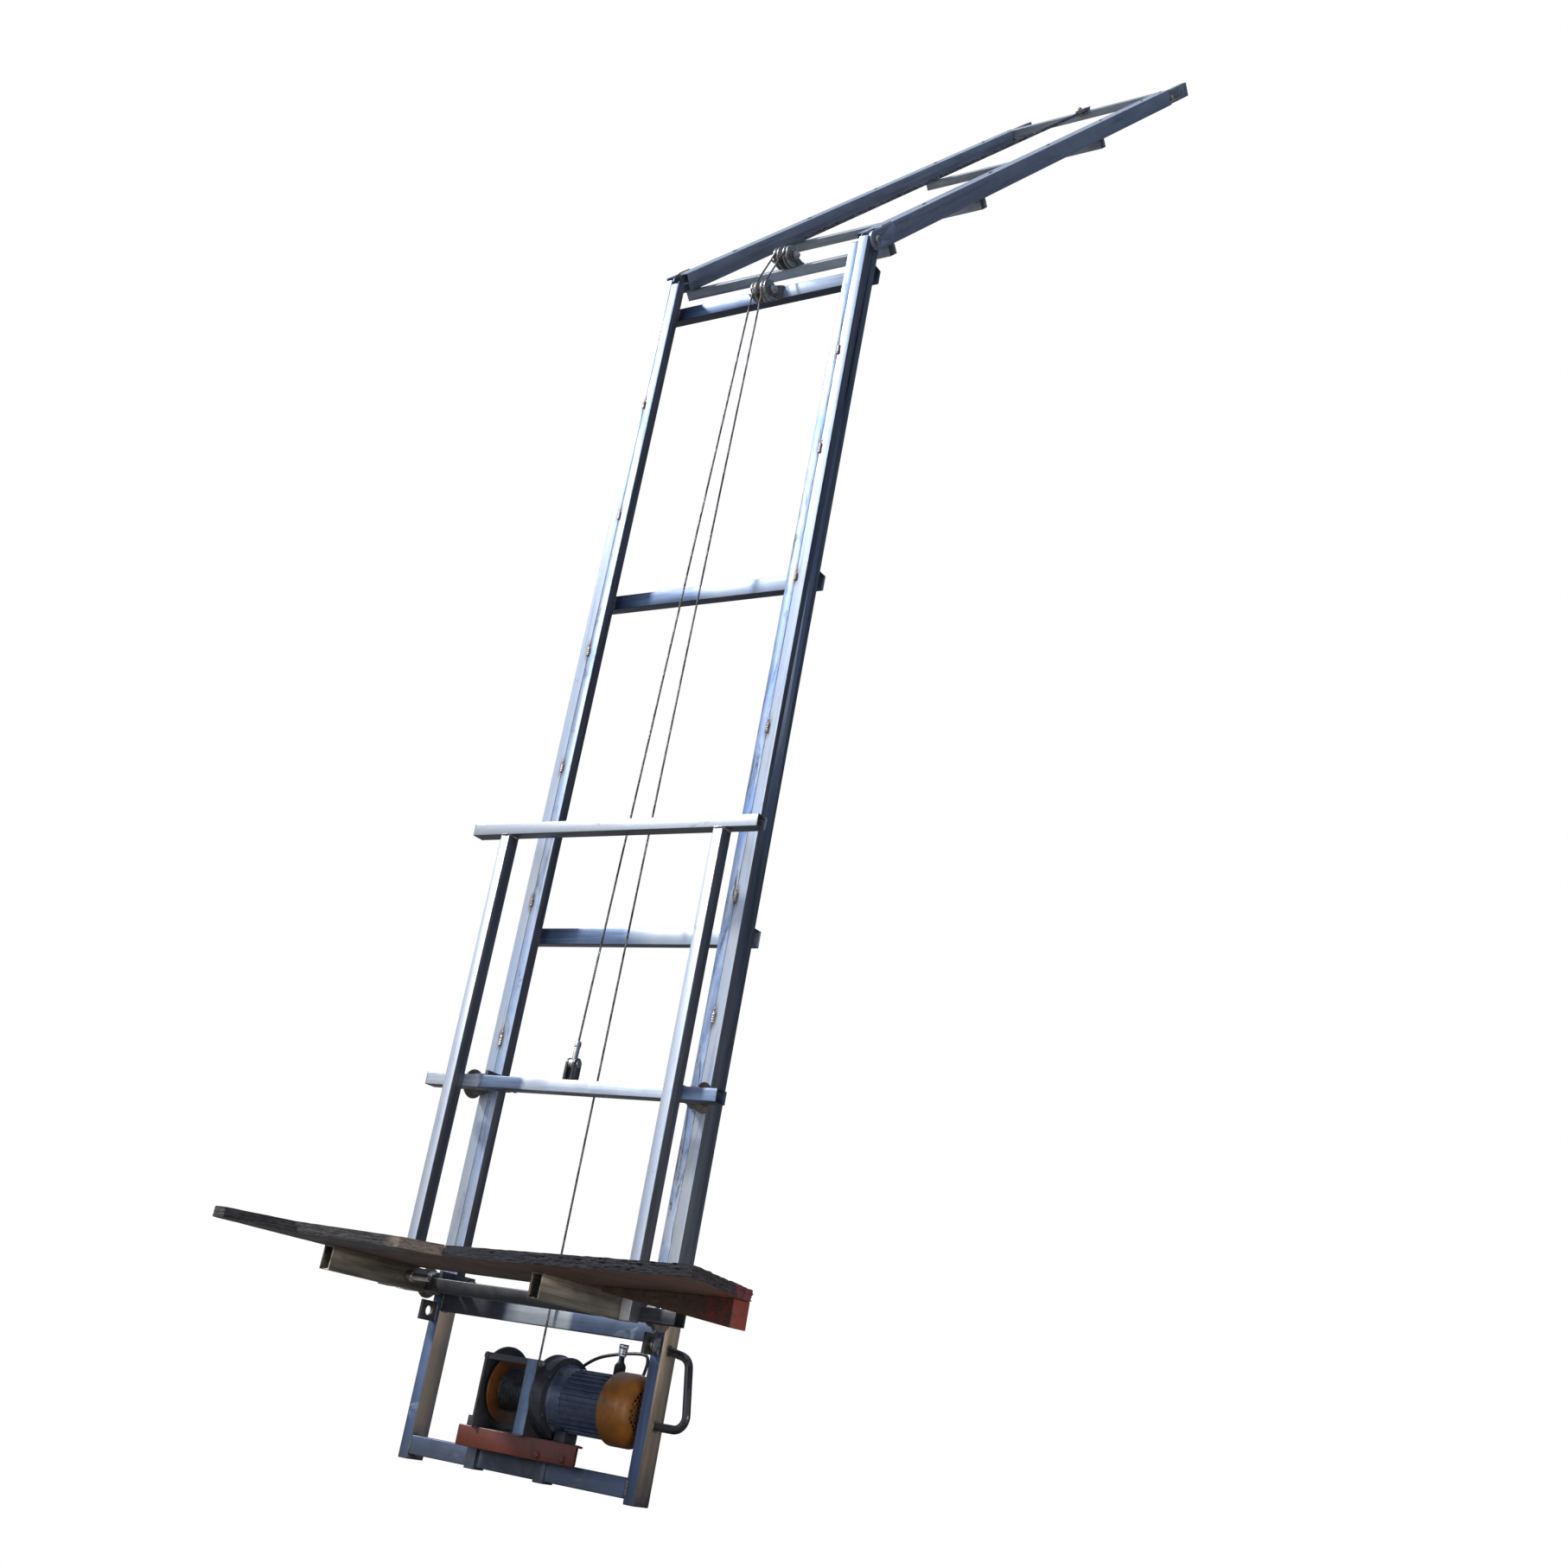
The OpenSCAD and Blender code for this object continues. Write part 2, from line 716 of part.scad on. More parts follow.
module motor_foot() {
  color(navy) at_winch() difference() {
    span([94, axis_y - 30, channel_top], [126, channel_y[1], axis_z - 60]);
    rod_x(90, 130, axis_y, axis_z, bell_r + run_gap);
  }
}

module motor_body() {
  color(navy) at_winch() {
    difference() {
      union() {
        translate([bell_x[0], axis_y, axis_z]) rotate([0, 90, 0]) rotate_extrude()
          polygon([[0, 0], [bell_r + 5, 0], [bell_r + 5, 6], [bell_r, 10], [bell_r - 6, 36], [0, 36]]);
        slab_x(body_x[0], body_x[1]) translate([axis_y, axis_z]) {
          circle(body_r);
          for (i = [0:fin_count - 1])
            rotate(i * 360 / fin_count) translate([body_r - 2, -1.5]) square([fin_r - body_r + 2, 3]);
        }
        rod_x(shield_x[0], shield_x[1], axis_y, axis_z, fan_r - cover_wall - run_gap);
      }
      rod_x(bell_x[0] + 8, shield_x[0], axis_y, axis_z, housing_r);
      rod_x(bell_x[0] - 1, shield_x[1] + 1, axis_y, axis_z, motor_shaft_r + pin_gap);
    }
  }
}

module fan_cover() {
  r = fan_r;
  w = cover_wall;
  len = cover_x[1] - cover_x[0];
  color(orange) at_winch() difference() {
    translate([cover_x[0], axis_y, axis_z]) rotate([0, 90, 0]) rotate_extrude()
      polygon([[r - w, 0], [r, 0], [r, len - 28], [r - 4, len - 16], [r - 13, len - 6], [r - 25, len],
        [0, len], [0, len - w], [r - 26, len - w], [r - 14.5, len - 8], [r - 6, len - 17],
        [r - w, len - 28]]);
    for (j = [-4:4])
      for (k = [-4:4])
        if (norm([j, k]) < 4.6)
          translate([cover_x[1] - 5, axis_y + 8 * (j - k), axis_z + 8 * (j + k)])
            rotate([45, 0, 0]) translate([0, -4, -4]) cube([10, 8, 8]);
  }
}

module motor_rotor() {
  color(zinc) at_winch() {
    rod_x(gearbox_x[1] - 18, cover_x[1] - 30, axis_y, axis_z, motor_shaft_r);
    rod_x(110, 220, axis_y, axis_z, rotor_r);
    rod_x(cover_x[1] - 52, cover_x[1] - 32, axis_y, axis_z, 20);
    for (a = [0:45:315])
      translate([cover_x[1] - 42, axis_y, axis_z]) rotate([a, 0, 0])
        translate([-8, -1.5, 17]) cube([16, 3, fan_blade_r - 17]);
  }
}

module terminal_box() {
  color(black) at_winch() difference() {
    span([box_x[0], axis_y + 30, axis_z + 10], [box_x[1], axis_y + 92, box_top]);
    rod_x(box_x[0] - 10, box_x[1] + 10, axis_y, axis_z, fin_r + run_gap);
  }
}

module motor_lead() {
  path = rounded([[box_x[0], lead_exit[0], lead_exit[1]], [box_x[0] - 20, lead_exit[0], lead_exit[1]],
    [96, lead_y, axis_z + 52], [12, lead_y, axis_z + 72],
    [88, lead_y, axis_z + 113], [145, lead_y, axis_z + 126],
    [224, lead_y, axis_z + 135], [231, lead_y, axis_z + 107], [box_x[1] + 24, lead_exit[0], lead_exit[1]],
    [box_x[1], lead_exit[0], lead_exit[1]]], 12, 5);
  color(black) at_winch() {
    sweep(path, lead_r, 8, [0, 1, 0]);
    translate([boot_at[0], boot_at[1], box_top]) cylinder(h = 44, r = 14);
    translate([boot_at[0], boot_at[1], box_top + 44]) cylinder(h = 16, r = 7);
    translate([boot_at[0], boot_at[1], box_top + 60]) cylinder(h = 28, r = 12);
  }
}

module winch_rope_line() {
  color(rope_grey) along_line(line_foot + stub_len * winch_dir, winch_dir)
    cylinder(h = norm(line_head - line_foot) - stub_len - run_gap, r = rope_r, $fn = 12);
}

module carriage_rope_line() {
  color(rope_grey) along_line(rope_foot + socket_len * line_dir, line_dir)
    cylinder(h = norm(rope_head - rope_foot) - socket_len - run_gap, r = rope_r, $fn = 12);
}

upper_y = upper_along * cos(roof_angle) + upper_depth * sin(roof_angle);
upper_z = plane_z + upper_along * sin(roof_angle) - upper_depth * cos(roof_angle);
lean = 90 + atan2(upper_z - sheave_z, upper_y - sheave_y);
leave = 90 + roof_angle;

// Centre line of a rope over both mast sheaves, at a distance x from the first one
function bend_path(x) = concat(
  [for (j = [0:4]) let(a = 180 + (lean - 180) * j / 4)
    [x, sheave_y + sheave_r * cos(a), sheave_z + sheave_r * sin(a)]],
  [for (j = [0:4]) let(a = lean + (leave - lean) * j / 4)
    [x, upper_y + sheave_r * cos(a), upper_z + sheave_r * sin(a)]]);

module bend_ropes() {
  color(rope_grey) {
    for (x = [0, sheave_gap])
      sweep(bend_path(x), rope_r, 12, [1, 0, 0]);
  }
}

module roof_rope() {
  loop = [for (j = [0:16]) let(a = 180 - 180 * j / 16)
    [end_r + end_r * cos(a), end_depth, end_along + end_r * sin(a)]];
  color(rope_grey) on_roof()
    sweep(concat([[0, end_depth, upper_along + run_gap]], loop,
      [[sheave_gap, end_depth, upper_along + run_gap]]),
      rope_r, 12, [0, 1, 0]);
}

base_rails();
base_bars();
base_lugs();
lug_bolt();
base_spigots();
carry_handle();
mast_rail_left();
mast_rail_right();
mast_guides();
mast_rungs();
hinge_pins();
lower_block();
lower_sheave_left();
lower_sheave_right();
roof_rail_left();
roof_rail_right();
roof_guides();
roof_bars();
roof_end_bar();
hinge_plates();
roof_spigots();
spigot_bolts();
upper_block();
upper_sheave_left();
upper_sheave_right();
end_block();
end_sheave();
carriage_uprights();
carriage_top_bar();
carriage_low_bars();
forks();
fork_pins();
roller_brackets();
roller_arms();
front_rollers_upper();
front_rollers_lower();
rear_rollers_upper();
rear_rollers_lower();
rope_lug();
rope_socket();
deck_board();
deck_offcut();
deck_batten();
winch_channel();
channel_clamps();
winch_frame();
winch_drum();
drum_shaft();
drum_rope();
gearbox();
motor_foot();
motor_body();
fan_cover();
motor_rotor();
terminal_box();
motor_lead();
winch_rope_line();
carriage_rope_line();
bend_ropes();
roof_rope();
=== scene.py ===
"""Looks of the inclined material hoist: materials, welds, ropes, boards, light and camera. Metres."""

import math
import random

import bmesh
import bpy
from mathutils import Matrix, Vector, noise


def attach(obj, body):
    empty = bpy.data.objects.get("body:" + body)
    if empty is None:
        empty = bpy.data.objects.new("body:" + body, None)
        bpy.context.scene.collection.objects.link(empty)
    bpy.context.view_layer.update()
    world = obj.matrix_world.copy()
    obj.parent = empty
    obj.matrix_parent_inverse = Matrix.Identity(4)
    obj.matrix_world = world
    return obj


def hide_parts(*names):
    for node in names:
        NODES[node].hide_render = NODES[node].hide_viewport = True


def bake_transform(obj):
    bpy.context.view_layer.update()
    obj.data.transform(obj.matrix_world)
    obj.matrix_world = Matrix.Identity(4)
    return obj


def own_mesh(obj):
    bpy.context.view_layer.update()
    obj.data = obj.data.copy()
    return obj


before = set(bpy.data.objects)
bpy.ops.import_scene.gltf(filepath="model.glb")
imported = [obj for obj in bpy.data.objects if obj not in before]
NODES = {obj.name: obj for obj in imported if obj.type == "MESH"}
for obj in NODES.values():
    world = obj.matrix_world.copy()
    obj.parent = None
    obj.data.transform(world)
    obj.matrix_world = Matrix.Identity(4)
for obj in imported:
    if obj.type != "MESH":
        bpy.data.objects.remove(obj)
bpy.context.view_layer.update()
ROOT = "foot_and_mast"
ROOF_ANGLE = math.radians(47.7)
ALONG = Vector((0, math.cos(ROOF_ANGLE), math.sin(ROOF_ANGLE)))
DEPTH = Vector((0, math.sin(ROOF_ANGLE), -math.cos(ROOF_ANGLE)))
ROOF_ORIGIN = Vector((0, 0, 3.477))
# Inner face of each rail, and heights of the stitch welds and of the rungs' undersides
RAIL_IN = 0.335
STITCH_LEFT = (1.058, 1.444, 1.839, 2.2, 2.643, 3.021)
STITCH_RIGHT = (1.139, 1.451, 1.921, 2.365, 2.765, 3.086)
RUNG_Z = (1.347, 2.366, 3.364)
# Winch axis, radius of the rope's turns on the drum and over a sheave, and the way between a pair's two ropes
AXIS_Y, AXIS_Z = 0.04, 0.2
WRAP_R = 0.049
SHEAVE_R = 0.028
SHEAVE_GAP = 0.033
LOW_SHEAVE = Vector((0, 0.014, 3.36))


def on_roof(x, depth, along):
    """A place in the roof frame: across it, below its upper face, and along it from the knee."""
    return ROOF_ORIGIN + Vector((x, 0, 0)) + DEPTH * depth + ALONG * along


HIGH_SHEAVE = on_roof(0, 0.026, 0.1)

# ---- camera
RIGHT = Vector((0.841, 0.5139, 0.1685))
FORWARD = Vector((-0.5393, 0.7731, 0.3338))


def make_camera():
    data = bpy.data.cameras.new("camera")
    data.lens = 42.537
    data.sensor_width = 36
    data.clip_start = 0.05
    data.clip_end = 100
    cam = bpy.data.objects.new("camera", data)
    bpy.context.scene.collection.objects.link(cam)
    forward = FORWARD.normalized()
    right = (RIGHT - forward * RIGHT.dot(forward)).normalized()
    up = right.cross(forward)
    turn = Matrix((right, up, -forward)).transposed().to_4x4()
    cam.matrix_world = Matrix.Translation((2.9777, -3.6687, 0.1745)) @ turn
    bpy.context.scene.camera = cam


# ---- node helpers
class Nodes:
    """A node tree with short ways to add to it."""

    def __init__(self, owner):
        owner.use_nodes = True
        self.tree = owner.node_tree
        self.tree.nodes.clear()

    def add(self, kind, **values):
        """A new node, with these values on its sockets."""
        node = self.tree.nodes.new(kind)
        for name, value in values.items():
            node.inputs[name].default_value = value
        return node

    def link(self, a, b):
        self.tree.links.new(a, b)

    def ramp(self, value, *stops):
        """Stops are pairs of place and grey, or of place and colour."""
        r = self.add("ShaderNodeValToRGB")
        self.link(value, r.inputs[0])
        elements = r.color_ramp.elements
        for _ in stops[2:]:
            elements.new(0.5)
        for element, (at, tone) in zip(elements, stops):
            element.position = at
            element.color = (*tone, 1) if isinstance(tone, tuple) else (tone, tone, tone, 1)
        return r.outputs[0]

    def show_white(self, output, lit, white):
        """Lets the camera see white where the shader gives its light to everything else."""
        mix = self.add("ShaderNodeMixShader")
        seen = self.add(white, Color=(1, 1, 1, 1))
        for k, socket in enumerate((self.add("ShaderNodeLightPath").outputs["Is Camera Ray"], lit, seen.outputs[0])):
            self.link(socket, mix.inputs[k])
        self.link(mix.outputs[0], self.add(output).inputs[0])


class Shader(Nodes):
    """A Principled material with short ways to build its looks."""

    def __init__(self, name, metallic=0.0, roughness=0.5, specular=0.5, coat=0.0, roof=False):
        self.material = bpy.data.materials.new(name)
        super().__init__(self.material)
        out = self.add("ShaderNodeOutputMaterial")
        self.bsdf = self.add("ShaderNodeBsdfPrincipled", Metallic=metallic, Roughness=roughness)
        self.bsdf.inputs["Specular IOR Level"].default_value = specular
        self.bsdf.inputs["Coat Weight"].default_value = coat
        self.link(self.bsdf.outputs[0], out.inputs[0])
        self.coords = self.add("ShaderNodeTexCoord")
        self.place = self.coords.outputs["Object"]
        if roof:
            turned = self.add("ShaderNodeMapping", Rotation=(math.pi / 2 - ROOF_ANGLE, 0, 0))
            self.link(self.place, turned.inputs["Vector"])
            self.place = turned.outputs[0]

    def fill(self, socket, value):
        """Sets a socket to a number or a colour, or links it."""
        if isinstance(value, (int, float)):
            socket.default_value = value
        elif isinstance(value, tuple):
            socket.default_value = (*value, 1)
        else:
            self.link(value, socket)

    def scaled(self, scale):
        mapping = self.add("ShaderNodeMapping", Scale=scale)
        self.link(self.place, mapping.inputs["Vector"])
        return mapping.outputs[0]

    def noise(self, scale, detail=4, rough=0.55, distortion=0.0):
        """Noise at one scale, or stretched where scale is a triple."""
        stretched = isinstance(scale, tuple)
        n = self.add("ShaderNodeTexNoise", Scale=1 if stretched else scale, Detail=detail, Roughness=rough,
                     Distortion=distortion)
        self.link(self.scaled(scale) if stretched else self.place, n.inputs["Vector"])
        return n.outputs[0]

    def cells(self, scale):
        """Colours of small cells, as of a zinc coat's spangle."""
        v = self.add("ShaderNodeTexVoronoi", Scale=1)
        self.link(self.scaled(scale), v.inputs["Vector"])
        return v.outputs["Color"]

    def rise(self, value, low, high, top=1.0):
        return self.ramp(value, (low, 0.0), (high, top))

    def fall(self, value, low, high):
        return self.ramp(value, (low, 1.0), (high, 0.0))

    def mix(self, fac, a, b, blend="MIX"):
        m = self.add("ShaderNodeMix")
        m.data_type = "RGBA"
        m.blend_type = blend
        for socket, value in ((0, fac), (6, a), (7, b)):
            self.fill(m.inputs[socket], value)
        return m.outputs[2]

    def over(self, body, *layers):
        """Lays tones over one another, each where its value rises from low to high: (tone, value, low, high, top)."""
        for tone, *share in layers:
            body = self.mix(self.rise(*share), body, tone)
        return body

    def math(self, kind, a, b=0.5):
        m = self.add("ShaderNodeMath")
        m.operation = kind
        self.fill(m.inputs[0], a)
        self.fill(m.inputs[1], b)
        return m.outputs[0]

    def plus(self, a, b):
        return self.math("ADD", a, b)

    def minus(self, a, b):
        return self.math("SUBTRACT", a, b)

    def times(self, a, b):
        return self.math("MULTIPLY", a, b)

    def part(self, vector, axis):
        parts = self.add("ShaderNodeSeparateXYZ")
        self.link(vector, parts.inputs[0])
        return parts.outputs[axis]

    def facing(self, axis):
        """How far the surface faces along one of its own axes, from -1 to 1."""
        return self.part(self.coords.outputs["Normal"], axis)

    def down(self):
        return self.times(self.facing(2), -1)

    def aside(self):
        return self.math("ABSOLUTE", self.facing(0))

    def position(self, axis):
        return self.part(self.place, axis)

    def red_end(self, mottle):
        """Share of old red paint on the deck's right end, by the place across its back right corner."""
        along = self.plus(self.position(0), self.times(self.position(1), 0.27))
        back = self.minus(self.position(1), self.times(self.position(0), -0.27))
        here = self.times(self.rise(along, 0.655, 0.7), self.rise(self.plus(back, 1.0), 0.68, 0.74))
        return self.times(here, self.rise(mottle, 0.36, 0.52, 0.9))

    def done(self, body, height, strength, distance, patch=None, rough=None, at=(0.3, 0.7)):
        """The material, once it has its colour, its bump and a roughness that follows a patch."""
        self.link(body, self.bsdf.inputs["Base Color"])
        if rough:
            self.link(self.ramp(patch, (at[0], rough[0]), (at[1], rough[1])), self.bsdf.inputs["Roughness"])
        bump = self.add("ShaderNodeBump", Strength=strength, Distance=distance)
        self.link(height, bump.inputs["Height"])
        self.link(bump.outputs[0], self.bsdf.inputs["Normal"])
        return self.material


def stretch(axis, across, along):
    """Scales of a streak that runs along one axis."""
    return tuple(along if k == axis else across for k in range(3))


def toned(colour, factor):
    return tuple(v * factor for v in colour)


def galvanised(name, axis, light, mid, dark, spots=0.62, aside=None, under=None, roof=False, seams=False,
               shaded=False, streaked=False):
    """Zinc-coated tube: spangle, streaks along it, dull patches and stains, and painted shade on its sides or
    underside where their tones are given. Seams adds brown heat marks round the stitch welds, shaded a painted blue
    shadow on the rungs' left, and streaked a painted blue sky reflection on the right guide with dark streaks of
    painted shade and stain.
    Seams or shaded also paint shade that darkens the tube and turns it bluer towards the top."""
    s = Shader(name, metallic=0.55, roughness=0.45, roof=roof)
    streak = s.noise(stretch(axis, 55, 2.2), 6, 0.6, 0.4)
    patch = s.noise(stretch(axis, 9, 3.2), 5, 0.6, 1.2)
    grime = s.noise(stretch(axis, 30, 12), 8, 0.7, 0.8)
    body = s.over(light, (mid, patch, 0.36, 0.64), (dark, streak, 0.54, 0.74, 0.75))
    body = s.mix(0.1, body, s.cells(stretch(axis, 240, 150)), "SOFT_LIGHT")
    body = s.over(body, ((0.16, 0.13, 0.11), grime, spots, spots + 0.13, 0.7),
                  ((0.86, 0.89, 0.93), s.noise(stretch(axis, 420, 9), 3, 0.5), 0.66, 0.72, 0.35))
    # Painted shadow: a blue shade over the left part of each rung
    if shaded:
        left = s.fall(s.plus(s.position(0), s.times(patch, 0.12)), 0.0, 0.1)
        body = s.mix(left, body, s.over((0.15, 0.22, 0.38), ((0.34, 0.44, 0.62), streak, 0.4, 0.66)))
    # Painted shade: the mast, guides and rungs are darkened and turned bluer towards the top
    if seams or shaded:
        high = s.ramp(s.math("DIVIDE", s.position(2), 4.0), (0.28, 0.0), (0.55, 0.7), (0.85, 1.0))
        body = s.mix(high, body, (0.34, 0.39, 0.47), "MULTIPLY")
    # Painted light: a blue sky reflection on the right guide, with dark streaks that are partly painted shade and
    # partly stains
    if streaked:
        blue = s.over(body, ((0.17, 0.27, 0.5), patch, 0.4, 0.62),
                      ((0.035, 0.045, 0.07), s.noise(stretch(2, 46, 5), 7, 0.7, 1.2), 0.52, 0.62, 0.9))
        body = s.over(body, (blue, s.position(0), 0.29, 0.291))
    # Painted shade on the underside
    if under:
        body = s.over(body, (under, s.down(), 0.5, 0.8, 0.9))
    # Painted shade on the sides
    if aside:
        body = s.over(body, (s.over(aside, (toned(aside, 1.9), streak, 0.4, 0.7)), s.aside(), 0.5, 0.9))
    if seams:
        ragged = s.minus(grime, 0.5)
        for heights, x in ((STITCH_RIGHT, RAIL_IN), (STITCH_LEFT, -RAIL_IN)):
            stops = [((z + off) / 3.5, tone) for z in heights
                     for off, tone in ((-0.034, 0.0), (-0.012, 1.0), (0.014, 1.0), (0.04, 0.0))]
            along = s.ramp(s.plus(s.math("DIVIDE", s.position(2), 3.5), s.times(ragged, 0.012)), *stops)
            away = s.math("ABSOLUTE", s.minus(s.position(0), x))
            near = s.fall(s.plus(away, s.times(ragged, 0.02)), 0.004, 0.0125)
            mark = s.times(s.times(along, near), s.rise(s.times(s.facing(1), -1), 0.5, 0.9))
            body = s.mix(s.times(mark, 0.8), body, (0.16, 0.11, 0.085))
    return s.done(body, s.plus(streak, s.noise(300, 3)), 0.12, 0.0008, patch, (0.3, 0.55))


def foot_steel(name, axis, front, side=None):
    """Foot tubes: fronts in a cool blue that is painted sky light, with worn streaks; sides of the upright ones in a
    warm tone that is painted light from the ground, with dust; and dirt low down. The lower bar has a near-black
    painted shadow of the winch channel between its clamps, and the upper one a painted reflection, dark at its left
    and pale in the middle."""
    s = Shader(name, metallic=0.35, roughness=0.5)
    streak = s.noise(stretch(axis, 48, 3), 7, 0.65, 0.6)
    patch = s.noise(16, 6, 0.65, 1.0)
    # Painted light: the fronts' cool blue stands in for sky light, varied by darker streaks and pale patches
    body = s.over(front, (toned(front, 0.62), streak, 0.38, 0.68), ((0.42, 0.5, 0.62), patch, 0.6, 0.72, 0.55))
    if side:
        # Painted light: the sides' warm tone stands in for light from the ground, with dust patches; the left rail's
        # inner side is painted lighter still
        warm = s.over(side, (toned(side, 0.45), streak, 0.35, 0.66), ((0.34, 0.31, 0.28), patch, 0.56, 0.7, 0.5))
        warm = s.mix(s.ramp(s.position(0), (0.0, 0.75), (0.01, 0.0)), warm, (0.72, 0.6, 0.47))
        body = s.over(body, (warm, s.aside(), 0.4, 0.8))
    else:
        across, height = s.plus(s.position(0), 0.5), s.position(2)
        upper = s.rise(height, 0.3, 0.31)
        # Painted shadow of the winch channel: near black on the lower bar between its clamps
        channel_shadow = s.ramp(across, (0.35, 0.0), (0.365, 1.0), (0.57, 1.0), (0.59, 0.0))
        body = s.mix(s.times(channel_shadow, s.fall(height, 0.1, 0.12)), body, (0.016, 0.02, 0.032))
        # Painted reflection on the upper bar: dark at its left, pale in the middle
        body = s.mix(s.times(s.fall(across, 0.36, 0.38), upper), body, (0.04, 0.045, 0.06))
        middle = s.ramp(across, (0.37, 0.0), (0.385, 1.0), (0.575, 1.0), (0.59, 0.0))
        pale = s.over((0.46, 0.5, 0.55), ((0.3, 0.34, 0.4), streak, 0.3, 0.7))
        body = s.mix(s.times(middle, upper), body, pale)
    dirt = s.times(s.fall(s.position(2), 0.0, 0.09), s.ramp(patch, (0.3, 0.2), (0.6, 1.0)))
    body = s.mix(dirt, body, (0.1, 0.12, 0.16))
    nick = s.noise(130, 5, 0.7)
    body = s.over(body, ((0.62, 0.66, 0.7), nick, 0.68, 0.74, 0.6))
    return s.done(body, s.plus(streak, nick), 0.14, 0.0008, patch, (0.38, 0.62))


def carriage_tube(name):
    """The two cross tubes of the carriage: pale zinc on the upper one, with painted blue shade on parts of it; the
    lower one painted dark with the deck's shadow, with rust; undersides and sides darker with painted shade.
    """
    s = Shader(name, metallic=0.5, roughness=0.45)
    streak = s.noise(stretch(0, 70, 3), 6, 0.6, 0.4)
    patch = s.noise(14, 6, 0.62, 1.2)
    pale = s.over((0.66, 0.71, 0.77), ((0.44, 0.5, 0.6), streak, 0.4, 0.68))
    across = s.plus(s.plus(s.position(0), 0.5), s.times(patch, 0.05))
    # Painted blue shade across parts of the upper tube
    blue = s.ramp(across, (0.235, 0.0), (0.25, 1.0), (0.385, 1.0), (0.4, 0.0), (0.835, 0.0), (0.85, 1.0))
    pale = s.mix(blue, pale, s.over((0.19, 0.26, 0.4), ((0.09, 0.12, 0.18), streak, 0.4, 0.7)))
    # Painted shadow of the deck darkens the lower tube, which has rust patches; undersides and sides get darker
    # painted shade
    body = s.over((0.075, 0.08, 0.09), ((0.03, 0.033, 0.04), streak, 0.34, 0.66),
                  ((0.1, 0.055, 0.035), patch, 0.6, 0.74, 0.7), (pale, s.position(2), 0.6, 0.61),
                  ((0.035, 0.038, 0.045), s.down(), 0.5, 0.8, 0.85), ((0.025, 0.028, 0.035), s.aside(), 0.5, 0.8, 0.9))
    return s.done(body, s.plus(streak, s.noise(220, 4)), 0.14, 0.0008, patch, (0.32, 0.58))


def raw_steel(name, axis, light, dark, metallic=0.75, roughness=(0.3, 0.6), rust=(0.16, 0.08, 0.04), rusted=0.6):
    """Bare or oxidised steel with brushed streaks and rust."""
    s = Shader(name, metallic=metallic, roughness=0.45)
    streak = s.noise(stretch(axis, 90, 4), 6, 0.6, 0.3)
    patch = s.noise(12, 6, 0.62, 1.5)
    body = s.over(light, (dark, streak, 0.34, 0.66), (rust, patch, rusted, rusted + 0.14, 0.75))
    return s.done(body, s.plus(streak, s.noise(220, 4)), 0.16, 0.0008, patch, roughness)


def paint(name, tone, worn, chip=(0.4, 0.38, 0.36), metallic=0.0, roughness=(0.32, 0.5), chips=0.66, coat=0.0):
    """Sprayed paint: uneven tone, dust on top, chips down to metal, and a light orange peel."""
    s = Shader(name, metallic=metallic, roughness=0.4, coat=coat)
    patch = s.noise(22, 6, 0.62, 0.8)
    body = s.over(tone, (worn, patch, 0.35, 0.7), (chip, s.noise(65, 8, 0.75, 0.6), chips, chips + 0.05, 0.85),
                  ((0.36, 0.34, 0.32), s.facing(2), 0.6, 1.0, 0.35))
    return s.done(body, s.noise(150, 4, 0.65), 0.12, 0.0006, patch, roughness)


def bright_zinc(name, tone=(0.62, 0.62, 0.6), dark=(0.2, 0.18, 0.16), roughness=(0.22, 0.42), metallic=0.9):
    """Plated steel with dull patches."""
    s = Shader(name, metallic=metallic, roughness=0.3)
    patch = s.noise(60, 6, 0.65, 0.6)
    body = s.over(tone, (dark, patch, 0.42, 0.72, 0.9))
    return s.done(body, s.noise(420, 3), 0.1, 0.0004, patch, roughness, (0.35, 0.65))


def plastic(name, tone, worn):
    """Moulded plastic with a fine grain, paler where it is scuffed."""
    s = Shader(name, roughness=0.45)
    patch = s.noise(45, 5, 0.6)
    return s.done(s.over(tone, (worn, patch, 0.4, 0.75)), s.noise(900, 3), 0.12, 0.0003, patch, (0.35, 0.55))


def wire_rope(name, light, dark):
    """Drawn wire with dark grease in patches."""
    s = Shader(name, metallic=0.75, roughness=0.45)
    patch = s.noise(35, 6, 0.7)
    return s.done(s.over(light, (dark, patch, 0.35, 0.62)), s.noise(1500, 2), 0.3, 0.0003, patch, (0.3, 0.6))


def board_face(name, film, bare, scraped):
    """Film-faced plywood: film worn thin in patches, dark grain, scrapes, and red paint at the right end."""
    s = Shader(name, roughness=0.6, specular=0.35)
    patch = s.noise(7, 7, 0.62, 1.4)
    grain = s.noise(stretch(0, 140, 6), 6, 0.65, 0.8)
    body = s.over(film, (bare, patch, 0.36, 0.66), (toned(film, 0.35), grain, 0.48, 0.72, 0.7))
    scrape = s.rise(s.noise(stretch(0, 300, 10), 4, 0.7, 2.0), 0.58, 0.66)
    body = s.mix(s.times(scrape, s.rise(s.noise(5, 4, 0.5), 0.5, 0.62)), body, scraped)
    body = s.mix(s.red_end(s.noise(24, 6, 0.7)), body, (0.13, 0.024, 0.02))
    return s.done(body, s.plus(grain, s.noise(200, 5, 0.7)), 0.35, 0.001, patch, (0.45, 0.8))


